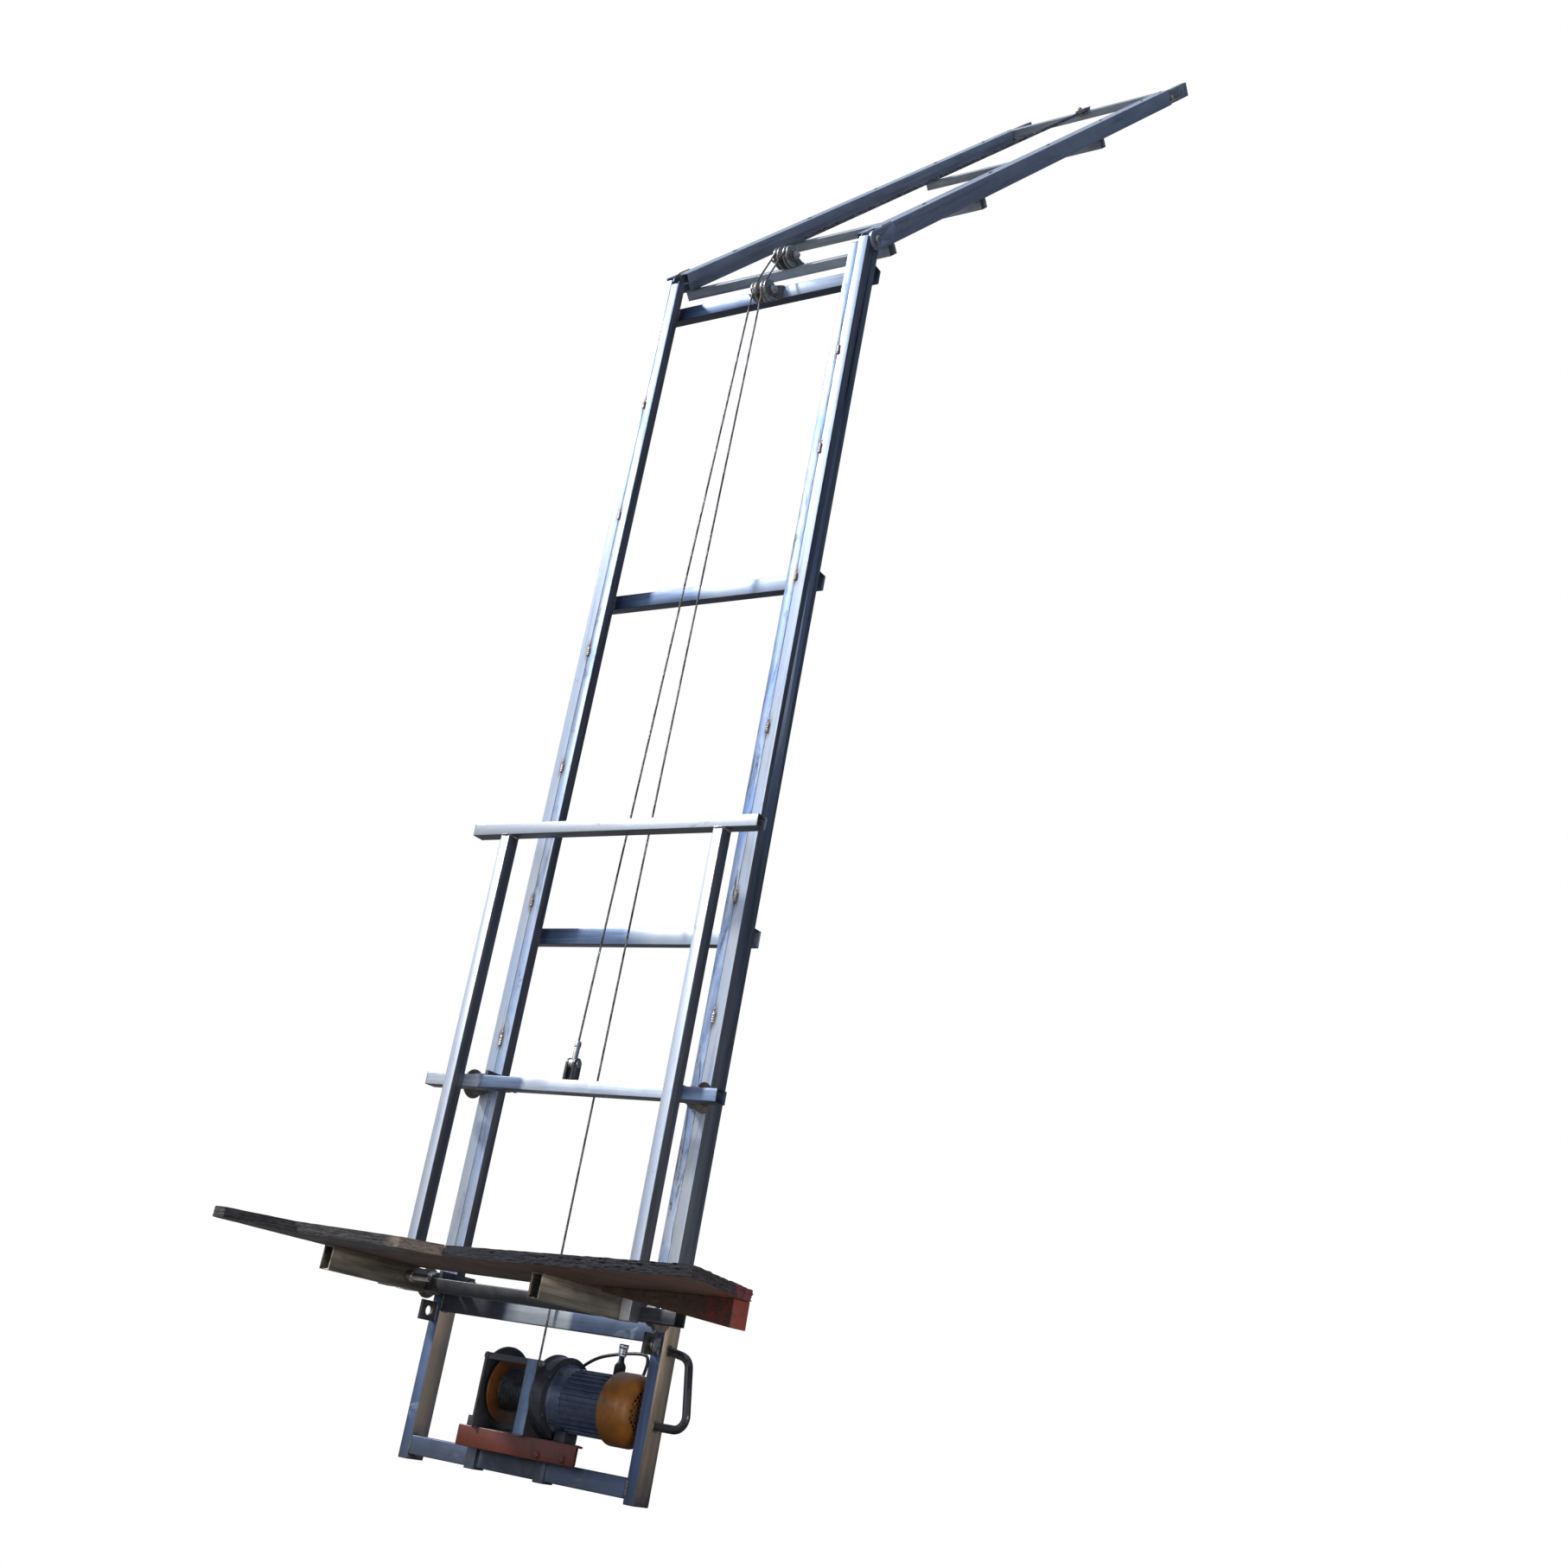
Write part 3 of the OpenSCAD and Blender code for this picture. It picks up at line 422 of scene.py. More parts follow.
def board_edge(name, light, dark):
    """Split plies and torn fibres, freshly broken near the middle."""
    s = Shader(name, roughness=0.85, specular=0.2)
    ply = s.noise((12, 12, 900), 3, 0.6, 0.6)
    fibre = s.noise((60, 60, 300), 8, 0.75, 1.0)
    body = s.over(light, (dark, fibre, 0.36, 0.66), (toned(dark, 0.5), ply, 0.45, 0.6, 0.6))
    body = s.mix(s.red_end(s.noise(30, 5)), body, (0.13, 0.035, 0.045))
    broken = s.times(s.rise(s.position(0), 0.02, 0.05), s.fall(s.position(0), 0.128, 0.134))
    body = s.mix(s.times(broken, s.ramp(fibre, (0.35, 1.0), (0.6, 0.3))), body, (0.44, 0.34, 0.26))
    return s.done(body, s.plus(fibre, ply), 0.7, 0.002)


def timber(name):
    """Old brown timber with grain, stains and a right end dipped in red paint that has worn off in places."""
    s = Shader(name, roughness=0.8, specular=0.25)
    grain = s.noise(stretch(0, 160, 5), 6, 0.65, 0.8)
    patch = s.noise(11, 7, 0.62, 1.2)
    mottle = s.noise(30, 7, 0.7, 0.8)
    ragged = s.plus(s.position(0), s.times(s.minus(mottle, 0.5), 0.1))
    flaked = s.over((0.17, 0.03, 0.024), ((0.06, 0.028, 0.026), mottle, 0.4, 0.56))
    worn = s.over((0.14, 0.03, 0.025), ((0.065, 0.024, 0.022), mottle, 0.5, 0.62, 0.8))
    body = s.over((0.075, 0.042, 0.028), ((0.13, 0.085, 0.055), patch, 0.36, 0.66),
                  ((0.028, 0.018, 0.015), grain, 0.46, 0.7, 0.8), (flaked, ragged, 0.735, 0.76, 0.85),
                  (worn, s.facing(0), 0.7, 0.9))
    return s.done(body, s.plus(grain, s.noise(240, 5, 0.7)), 0.5, 0.0012, patch, (0.55, 0.85))


# Aside and under tones are painted shade on the tubes' sides and undersides; foot_rail's front and side tones are
# painted sky light and light from the ground
MATERIALS = {
    "mast": galvanised("mast_zinc", 2, (0.8, 0.84, 0.89), (0.58, 0.68, 0.84), (0.34, 0.42, 0.55),
                       aside=(0.115, 0.13, 0.16), seams=True),
    "guide": galvanised("guide_zinc", 2, (0.66, 0.73, 0.85), (0.38, 0.5, 0.74), (0.1, 0.13, 0.19), 0.55,
                        aside=(0.12, 0.128, 0.145), seams=True, streaked=True),
    "rung": galvanised("rung_zinc", 0, (0.7, 0.75, 0.81), (0.5, 0.58, 0.7), (0.26, 0.32, 0.42), 0.66,
                       aside=(0.03, 0.035, 0.045), under=(0.04, 0.048, 0.065), shaded=True),
    "roof": galvanised("roof_zinc", 2, (0.44, 0.49, 0.57), (0.33, 0.38, 0.47), (0.15, 0.18, 0.25), 0.66, roof=True),
    "roof_bar": galvanised("roof_bar_zinc", 0, (0.46, 0.5, 0.54), (0.3, 0.34, 0.4), (0.1, 0.12, 0.14), 0.6,
                           aside=(0.022, 0.025, 0.03)),
    "carriage": galvanised("carriage_zinc", 0, (0.58, 0.61, 0.65), (0.44, 0.48, 0.55), (0.3, 0.35, 0.43),
                           under=(0.05, 0.055, 0.065)),
    "upright": galvanised("upright_zinc", 2, (0.7, 0.74, 0.8), (0.5, 0.57, 0.69), (0.28, 0.34, 0.44),
                          aside=(0.115, 0.125, 0.145)),
    "foot_rail": foot_steel("foot_rail_steel", 2, (0.1, 0.155, 0.285), (0.5, 0.41, 0.315)),
    "foot_bar": foot_steel("foot_bar_steel", 0, (0.085, 0.125, 0.22)),
    "clamp": foot_steel("clamp_steel", 0, (0.03, 0.038, 0.06)),
    "fork": raw_steel("fork_steel", 1, (0.42, 0.39, 0.33), (0.17, 0.155, 0.135)),
    "low_bar": carriage_tube("carriage_tube"),
    "dark_plate": raw_steel("dark_plate_steel", 2, (0.22, 0.22, 0.23), (0.07, 0.07, 0.075)),
    "block": raw_steel("block_steel", 2, (0.46, 0.43, 0.41), (0.13, 0.11, 0.1), 0.85, (0.22, 0.45), (0.3, 0.12, 0.05),
                       0.56),
    "weld": raw_steel("weld_bead", 2, (0.62, 0.6, 0.58), (0.16, 0.12, 0.1), 0.8, rust=(0.1, 0.05, 0.03), rusted=0.5),
    "dark_weld": raw_steel("foot_weld_bead", 2, (0.26, 0.27, 0.29), (0.07, 0.065, 0.065), 0.7, rusted=0.52),
    "zinc": bright_zinc("bolt_zinc"),
    "chrome": bright_zinc("plug_chrome", (0.8, 0.81, 0.82), (0.42, 0.43, 0.45), (0.08, 0.2), 1.0),
    "handle": paint("handle_paint", (0.016, 0.016, 0.018), (0.04, 0.04, 0.042), roughness=(0.14, 0.3), chips=0.74,
                    coat=0.6),
    "post": paint("post_paint", (0.2, 0.3, 0.46), (0.14, 0.2, 0.31), (0.4, 0.46, 0.55), 0.2),
    "plate": paint("plate_paint", (0.044, 0.048, 0.058), (0.065, 0.068, 0.075), (0.17, 0.18, 0.2), 0.15, chips=0.7),
    "motor": paint("motor_paint", (0.045, 0.062, 0.12), (0.1, 0.13, 0.2), (0.26, 0.29, 0.34), 0.2, chips=0.7),
    "gearbox": paint("gearbox_paint", (0.05, 0.055, 0.072), (0.025, 0.028, 0.035), (0.2, 0.2, 0.21), 0.2),
    "red": paint("channel_paint", (0.15, 0.03, 0.016), (0.09, 0.02, 0.013), (0.15, 0.07, 0.05), chips=0.68),
    "orange": paint("drum_paint", (0.26, 0.085, 0.016), (0.13, 0.045, 0.014), (0.12, 0.07, 0.05), chips=0.62),
    "amber": paint("fan_paint", (0.36, 0.135, 0.016), (0.21, 0.075, 0.012), (0.2, 0.09, 0.05), chips=0.66),
    "black": plastic("moulded_black", (0.018, 0.018, 0.02), (0.05, 0.05, 0.055)),
    "nylon": plastic("roller_nylon", (0.1, 0.092, 0.082), (0.2, 0.185, 0.165)),
    "rope": wire_rope("wire_rope", (0.34, 0.34, 0.36), (0.035, 0.035, 0.04)),
    "drum_rope": wire_rope("greased_rope", (0.12, 0.135, 0.14), (0.05, 0.057, 0.06)),
    "board": board_face("board_film", (0.06, 0.032, 0.021), (0.115, 0.06, 0.038), (0.09, 0.055, 0.04)),
    "offcut": board_face("offcut_film", (0.05, 0.042, 0.04), (0.09, 0.075, 0.068), (0.36, 0.3, 0.25)),
    "board_top": board_face("board_upper_film", (0.05, 0.04, 0.036), (0.09, 0.07, 0.06), (0.22, 0.18, 0.15)),
    "board_edge": board_edge("board_plies", (0.05, 0.05, 0.062), (0.008, 0.008, 0.01)),
    "scraped_edge": board_edge("scraped_plies", (0.15, 0.142, 0.14), (0.022, 0.021, 0.022)),
    "timber": timber("batten_timber"),
}

# Looks of the CAD nodes, with the width in millimetres to which their edges are rounded, or 0
DRESS = (
    ("mast", 3.2, "mast_rail_left mast_rail_right"),
    ("guide", 2.2, "mast_guides"),
    ("rung", 3, "mast_rungs"),
    ("roof", 3.2, "roof_rail_left roof_rail_right"),
    ("roof", 2.2, "roof_guides"),
    ("roof", 0.8, "hinge_plates"),
    ("roof_bar", 3, "roof_bars roof_end_bar"),
    ("carriage", 2.6, "carriage_top_bar"),
    ("upright", 2.6, "carriage_uprights"),
    ("low_bar", 2.6, "carriage_low_bars"),
    ("foot_rail", 3, "base_rails"),
    ("foot_bar", 3, "base_bars"),
    ("clamp", 1.2, "channel_clamps"),
    ("fork", 3, "forks"),
    ("dark_plate", 0.8, "base_lugs roller_brackets roller_arms rope_lug"),
    ("block", 0.6, "lower_block upper_block end_block"),
    ("zinc", 0.8, "lug_bolt hinge_pins spigot_bolts fork_pins rope_socket"),
    ("zinc", 1, "drum_shaft"),
    ("zinc", 2, "base_spigots roof_spigots"),
    ("zinc", 0, "lower_sheave_left lower_sheave_right upper_sheave_left upper_sheave_right end_sheave motor_rotor"),
    ("handle", 0, "carry_handle"),
    ("plate", 1, "winch_frame"),
    ("motor", 0.6, "motor_body"),
    ("gearbox", 1.6, "gearbox"),
    ("gearbox", 1.5, "motor_foot"),
    ("red", 2, "winch_channel"),
    ("orange", 0.8, "winch_drum"),
    ("amber", 0.4, "fan_cover"),
    ("black", 3, "terminal_box"),
    ("black", 0, "motor_lead"),
    ("nylon", 1.2, "front_rollers_upper front_rollers_lower rear_rollers_upper rear_rollers_lower"),
    ("rope", 0, "winch_rope_line carriage_rope_line bend_ropes roof_rope"),
    ("drum_rope", 0, "drum_rope"),
    ("board", 0, "deck_board"),
    ("offcut", 0, "deck_offcut"),
    ("timber", 3, "deck_batten"),
)


def soften(obj, width_mm):
    """Rounded edges on a CAD node, by modifiers alone."""
    weld = obj.modifiers.new("join", "WELD")
    weld.merge_threshold = 0.00002
    bevel = obj.modifiers.new("edges", "BEVEL")
    bevel.width = width_mm / 1000
    bevel.segments = 2
    bevel.limit_method = "ANGLE"
    bevel.angle_limit = math.radians(35)
    bevel.use_clamp_overlap = True
    bevel.harden_normals = True


def dress_nodes():
    for look, width, names in DRESS:
        for name in names.split():
            mesh = NODES[name].data
            mesh.materials.clear()
            mesh.materials.append(MATERIALS[look])
            for polygon in mesh.polygons:
                polygon.use_smooth = True
            mesh.set_sharp_from_angle(angle=math.radians(32))
            if width:
                soften(NODES[name], width)
    # The winch's front post is paler than its plates
    mesh = NODES["winch_frame"].data
    mesh.materials.append(MATERIALS["post"])
    for polygon in mesh.polygons:
        if polygon.center.y < -0.044 and polygon.center.x > 0.017:
            polygon.material_index = 1


# ---- pieces made in mesh code
def resample(points, step):
    """Evenly spaced points along a polyline, its ends kept."""
    points = [Vector(p) for p in points]
    lengths = [0.0]
    for a, b in zip(points, points[1:]):
        lengths.append(lengths[-1] + (b - a).length)
    count = max(2, round(lengths[-1] / step))
    made, k = [], 0
    for i in range(count + 1):
        at = lengths[-1] * i / count
        while k < len(points) - 2 and lengths[k + 1] < at:
            k += 1
        span = lengths[k + 1] - lengths[k]
        made.append(points[k].lerp(points[k + 1], (at - lengths[k]) / span))
    return made


def frames(path, up):
    """Point, tangent and two normals along a path, turned as little as possible."""
    up = Vector(up)
    made = []
    for i, point in enumerate(path):
        tangent = (path[min(i + 1, len(path) - 1)] - path[max(i - 1, 0)]).normalized()
        up = (up - tangent * up.dot(tangent)).normalized()
        made.append((point, tangent, up, tangent.cross(up)))
    return made


def around(middle, first, second, radius, sides, start=0.0):
    """Points of a circle in the plane of two directions."""
    return [middle + (first * math.cos(t) + second * math.sin(t)) * radius
            for t in (start + math.tau * k / sides for k in range(sides))]


def mirrored(point, side):
    return Vector((side * point[0], point[1], point[2]))


class Piece:
    """One mesh made of skins over rings of points, with a material for each of them."""

    def __init__(self, name, body, slot, *looks, replaces=()):
        self.name, self.body, self.slot, self.replaces = name, body, slot, replaces
        self.looks = looks
        self.verts, self.faces, self.tones = [], [], []

    def skin(self, rings, look=0, caps=True):
        start, count = len(self.verts), len(rings[0])
        for ring in rings:
            self.verts.extend(ring)
        for i in range(len(rings) - 1):
            for k in range(count):
                a, b = start + i * count + k, start + i * count + (k + 1) % count
                self.faces.append((a, b, b + count, a + count))
        if caps:
            last = start + (len(rings) - 1) * count
            self.faces.append(tuple(range(start + count - 1, start - 1, -1)))
            self.faces.append(tuple(range(last, last + count)))
        self.tones += [look] * (len(self.faces) - len(self.tones))

    def turned(self, origin, axis, profile, sides, look=0, start=0.0):
        """A turned shape from pairs of distance along the axis and radius, in millimetres."""
        axis = Vector(axis).normalized()
        side = axis.orthogonal().normalized()
        other = axis.cross(side)
        self.skin([around(Vector(origin) + axis * (along / 1000), side, other, radius / 1000, sides, start)
                   for along, radius in profile], look)

    def bolt(self, origin, axis, size, stub, look=0):
        """Washer, chamfered nut and threaded end of a bolt of the given size, standing on a face."""
        self.turned(origin, axis, [(-0.3, size), (1.3, size), (1.6, size - 0.4)], 24, look)
        lift, flat, high = 1.6, size * 0.9, size * 0.8
        self.turned(origin, axis, [(lift, flat * 0.92), (lift + 0.6, flat), (lift + high - 0.6, flat),
                                   (lift + high, flat * 0.9)], 6, look, 0.3)
        thread = [(lift, size / 2)]
        while thread[-1][0] < lift + high + stub - 0.6:
            thread += [(thread[-1][0] + 0.55, size / 2 - 0.35), (thread[-1][0] + 1.1, size / 2)]
        thread.append((thread[-1][0] + 0.5, size / 2 - 0.7))
        self.turned(origin, axis, thread, 12, look)

    def bead(self, points, out, width, height, lap=3.4):
        """A rippled weld bead along a path, bulging the way that out points. Its width, height and the length of a
        ripple are in millimetres."""
        path = resample(points, 0.0012)
        seed = Vector((random.uniform(0, 90), random.uniform(0, 90), 0))
        rings = []
        for i, (point, tangent, up, side) in enumerate(frames(path, Vector(out).normalized())):
            at = i * 1.2 / lap
            fade = min(1.0, math.sqrt((min(i, len(path) - 1 - i) + 0.35) / 3.5))
            wobble = noise.noise(seed + Vector((at * 0.4, 0, 0)))
            lobe = 0.66 + 0.34 * abs(math.sin(math.pi * at))
            wide = width / 2000 * fade * (0.86 + 0.14 * lobe + 0.25 * wobble)
            high = height / 1000 * fade * (lobe + 0.3 * wobble)
            middle = point + side * (0.0007 * noise.noise(seed + Vector((0, at * 0.5, 7))))
            ring = [middle + side * (wide * math.cos(t)) + up * (high * math.sin(t))
                    for t in (math.pi * k / 6 for k in range(7))]
            ring += [middle + side * (wide * way * 0.7) - up * 0.0006 for way in (-1, 1)]
            rings.append(ring)
        self.skin(rings)

    def beads(self, a, b, out, width, height):
        """A straight bead on the right, and its mirror image on the left."""
        for side in (1, -1):
            self.bead([mirrored(a, side), mirrored(b, side)], mirrored(out, side), width, height)

    def tube(self, path, radius, sides, up):
        self.skin([around(point, first, second, radius, sides) for point, _, first, second in frames(path, up)])

    def rope(self, points, lay=0.038, step=0.0055):
        """Six strands laid round one another, as one tube of 6 mm with valleys between them."""
        path = resample(points, step)
        length = sum((b - a).length for a, b in zip(path, path[1:])) / (len(path) - 1)
        rings = []
        for i, (point, tangent, first, second) in enumerate(frames(path, (1, 0, 0))):
            ring = []
            for k in range(24):
                r = 0.003 * (1.0, 0.929, 0.6, 0.929)[k % 4]
                t = math.tau * k / 24 + math.tau * i * length / lay
                ring.append(point + (first * math.cos(t) + second * math.sin(t)) * r)
            rings.append(ring)
        self.skin(rings)

    def block(self, low, high, edge):
        """A box with chamfered edges, in millimetres."""
        (x0, y0, z0), (x1, y1, z1) = Vector(low), Vector(high)
        rings = []
        for z, inset in ((z0, edge), (z0 + edge, 0), (z1 - edge, 0), (z1, edge)):
            a, b, c, d = x0 + inset, x1 - inset, y0 + inset, y1 - inset
            flat = ((a + edge, c), (b - edge, c), (b, c + edge), (b, d - edge), (b - edge, d), (a + edge, d),
                    (a, d - edge), (a, c + edge))
            rings.append([Vector((x, y, z)) / 1000 for x, y in flat])
        self.skin(rings)

    def finish(self, angle=38):
        mesh = bpy.data.meshes.new(self.name)
        mesh.from_pydata([tuple(v) for v in self.verts], [], self.faces)
        for look in self.looks:
            mesh.materials.append(MATERIALS[look])
        mesh.polygons.foreach_set("material_index", self.tones)
        mesh.polygons.foreach_set("use_smooth", [True] * len(mesh.polygons))
        mesh.validate()
        work = bmesh.new()
        work.from_mesh(mesh)
        bmesh.ops.recalc_face_normals(work, faces=work.faces)
        work.to_mesh(mesh)
        work.free()
        mesh.set_sharp_from_angle(angle=math.radians(angle))
        obj = bpy.data.objects.new(self.name, mesh)
        bpy.context.scene.collection.objects.link(obj)
        if self.body:
            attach(obj, self.body)
        if self.replaces:
            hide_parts(*self.replaces)
        return obj


# ---- ropes
ROPE_FOOT = Vector((0.0206, AXIS_Y - WRAP_R, AXIS_Z))
CAR_ROPE_HEAD = LOW_SHEAVE - Vector((0, SHEAVE_R, 0))
LUG_PIN = Vector((0, -0.088, 0.985))
CAR_ROPE_WAY = (CAR_ROPE_HEAD - LUG_PIN).normalized()


def drum_turns():
    """Centre of the rope from its clamp on the drum to where it leaves."""
    loops, pitch, steps = 16.5, 0.0065, 40
    points = []
    for i in range(int(loops * steps) + 1):
        t = i / steps
        a = math.pi + math.tau * (loops - t)
        points.append(Vector((ROPE_FOOT.x + (t - loops) * pitch, AXIS_Y + WRAP_R * math.cos(a),
                              AXIS_Z + WRAP_R * math.sin(a))))
    return [points[0] + Vector((0, 0, 0.006))] + points


def over_sheave(middle, x, start, end):
    """The rope's arc over a sheave, from one angle to another."""
    return [middle + Vector((x, SHEAVE_R * math.cos(a), SHEAVE_R * math.sin(a)))
            for a in (start + (end - start) * j / 10 for j in range(11))]


def make_ropes():
    winch = Piece("rope_winch", ROOT, "rope_steel", "rope", replaces=("winch_rope_line",))
    winch.rope([ROPE_FOOT, CAR_ROPE_HEAD + Vector((SHEAVE_GAP, 0, 0))])
    winch.finish(180)
    drum = Piece("rope_drum", "drum", "rope_steel", "drum_rope", replaces=("drum_rope",))
    drum.rope(drum_turns(), 0.034, 0.006)
    drum.finish(180)
    carriage = Piece("rope_carriage", ROOT, "rope_steel", "rope", replaces=("carriage_rope_line",))
    carriage.rope([LUG_PIN + CAR_ROPE_WAY * 0.058, CAR_ROPE_HEAD])
    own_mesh(carriage.finish(180))
    gap = HIGH_SHEAVE - LOW_SHEAVE
    lean = math.pi / 2 + math.atan2(gap.z, gap.y)
    bend = Piece("rope_bend", None, "rope_steel", "rope")
    for x in (0, SHEAVE_GAP):
        bend.rope(over_sheave(LOW_SHEAVE, x, math.pi, lean)
                  + over_sheave(HIGH_SHEAVE, x, lean, math.pi / 2 + ROOF_ANGLE), step=0.004)
    obj = bend.finish(180)
    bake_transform(obj)
    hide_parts("bend_ropes")
    roof = Piece("rope_roof", "roof_frame", "rope_steel", "rope", replaces=("roof_rope",))
    turn = SHEAVE_GAP / 2
    loop = [on_roof(turn + turn * math.cos(a), -0.002, 2.69 + turn * math.sin(a))
            for a in (math.pi - math.pi * j / 20 for j in range(21))]
    roof.rope([on_roof(0, -0.002, 0.1)] + loop + [on_roof(SHEAVE_GAP, -0.002, 0.1)])
    roof.finish(180)


# ---- welds
def make_welds():
    foot = Piece("foot_welds", ROOT, "foot_paint", "dark_weld")
    for low, high in ((0.012, 0.057), (0.357, 0.402)):
        foot.beads((RAIL_IN, -0.0002, low + 0.003), (RAIL_IN, -0.0002, high - 0.003), (0, -1, 0), 6.5, 1.8)
        for z, up in ((high, 1), (low, -1)):
            foot.beads((0.3352, 0.003, z), (0.3352, 0.028, z), (-1, 0, up), 6, 2.4)
    for x, way in ((0.346, -1), (0.354, 1)):
        foot.beads((x, -0.0002, 0.33), (x, -0.0002, 0.374), (way, -1, 0), 6, 2.6)
    for z, r in ((0.176, 0.011), (0.345, 0.0115)):
        foot.bead([(0.3652, 0.03 + r * math.cos(t), z + r * math.sin(t)) for t in
                   (math.tau * k / 24 for k in range(25))], (1, 0, 0), 5.5, 2.8)
    foot.finish(60)

    mast = Piece("mast_welds", ROOT, "galvanised", "weld")
    for side, heights in ((1, STITCH_RIGHT), (-1, STITCH_LEFT)):
        x = side * RAIL_IN
        for z in heights:
            half = 0.014 + random.uniform(-0.002, 0.003)
            mast.bead([(x, -0.0003, z - half), (x, -0.0003, z + half)], (0, -1, 0), 10.5, 3.6, 6.5)
            off = side * random.uniform(-0.003, 0.003)
            mast.bead([(x + off, -0.0003, z + half + 0.006), (x, -0.0003, z + half + 0.011)], (0, -1, 0), 5, 1.8)
    for z in RUNG_Z:
        mast.beads((0.3348, 0.0648, z + 0.003), (0.3348, 0.0648, z + 0.042), (-1, -1, 0), 6.5, 2.6)
        for edge, up in ((z + 0.045, 1), (z, -1)):
            mast.beads((0.337, 0.0652, edge), (0.363, 0.0652, edge), (0, 0.7, up), 6.5, 2.6)
    for z, way in ((3.3642, -1), (3.4088, 1)):
        mast.bead([(-0.016, 0.0645, z), (0.048, 0.0645, z)], (0, -1, way), 5.5, 2.4)
    mast.finish(60)

    roof = Piece("roof_welds", "roof_frame", "roof_galvanised", "dark_weld")
    for along in (0.097, 0.79, 1.93):
        for edge, way in ((along, -1), (along + 0.043, 1)):
            roof.beads(on_roof(0.337, 0.0602, edge), on_roof(0.363, 0.0602, edge), DEPTH * 0.6 + ALONG * way,
                       6.5, 2.6)
        roof.beads(on_roof(0.3348, 0.0598, along + 0.003), on_roof(0.3348, 0.0598, along + 0.04),
                   Vector((-1, 0, 0)) - DEPTH, 6.5, 2.6)
    for side in (1, -1):
        aside = Vector((side, 0, 0))
        rows = [(0.3348, -0.0002, 2.738, -0.0002, 2.778, -DEPTH, 6.5, 2.2),
                (0.3655, 0.003, 0.1572, 0.052, 0.1572, ALONG + aside, 6, 2.6),
                (0.3655, -0.0004, 0.085, -0.0004, 0.152, aside - DEPTH, 5.5, 2.2)]
        for along in (0.42, 0.95, 1.48, 2.02, 2.5):
            spot = along + 0.03 * side
            rows.append((RAIL_IN, -0.0003, spot - 0.013, -0.0003, spot + 0.013, -DEPTH, 9, 3))
        for x, depth, start, deeper, end, out, width, height in rows:
            roof.bead([on_roof(side * x, depth, start), on_roof(side * x, deeper, end)], out, width, height)
    roof.finish(60)

    carriage = Piece("carriage_welds", "carriage", "galvanised", "weld")
    for side in (1, -1):
        for a, b, out in (((0.335, -0.1482), (0.361, -0.1482), (0, -1, -1)),
                          ((0.3328, -0.146), (0.3328, -0.11), (-1, 0, -1)),
                          ((0.3632, -0.146), (0.3632, -0.11), (1, 0, -1))):
            carriage.bead([mirrored((*p, 1.5868), side) for p in (a, b)], mirrored(out, side), 6, 2.6)
    for z in (0.394, 0.908):
        for edge, up in ((z, -1), (z + 0.033, 1)):
            carriage.beads((0.336, -0.1078, edge), (0.36, -0.1078, edge), (0, 1, up), 6, 2.4)
    carriage.beads((0.3328, -0.1484, 0.392), (0.3328, -0.1484, 0.44), (-1, -1, 0), 6.5, 2.8)
    carriage.beads((0.3035, -0.1076, 0.43), (0.3295, -0.1076, 0.43), (0, 1, 1), 6, 2.6)
    for z in (0.418, 0.932):
        for x, way in ((0.376, -1), (0.328, 1)):
            carriage.beads((x, -0.0678, z - 0.016), (x, -0.0678, z + 0.016), (way, 1, 0), 5.5, 2.2)
    for side in (-1, 1):
        x = side * 0.0142
        carriage.bead([(x, -0.102, 0.9412), (x, -0.074, 0.9412)], (side, 0, 1), 5, 2.2)
    carriage.finish(60)

    winch = Piece("winch_welds", ROOT, "winch_navy", "dark_weld")
    for x, way in ((-0.1142, -1), (-0.1078, 1), (0.0438, -1)):
        winch.bead([(x, -0.044, 0.1042), (x, 0.124, 0.1042)], (way, 0, 1), 6, 2.6)
    winch.bead([(0.02, -0.0502, 0.1042), (0.048, -0.0502, 0.1042)], (0, -1, 1), 5.5, 2.2)
    for z, up in ((0.266, -1), (0.274, 1)):
        winch.bead([(-0.1078, -0.0435, z), (-0.1078, -0.03, z)], (1, 0, up), 5, 2)
    for x in (-0.146, -0.116, 0.069, 0.099):
        winch.bead([(x, -0.0052, 0.06), (x, -0.0052, 0.095)], (0, -1, 0), 5, 1.6)
    winch.finish(60)


# ---- fasteners
# Bolts round each roller: x, y, height over the axle, way, size and free end in millimetres
AXLE_BOLTS = ((0.379, -0.0283, 0, 1, 13, 4), (0.292, 0.0463, 0.014, -1, 11, 4), (0.292, -0.06, -0.006, -1, 8, 2),
              (0.379, -0.058, 0.01, 1, 7, 2))


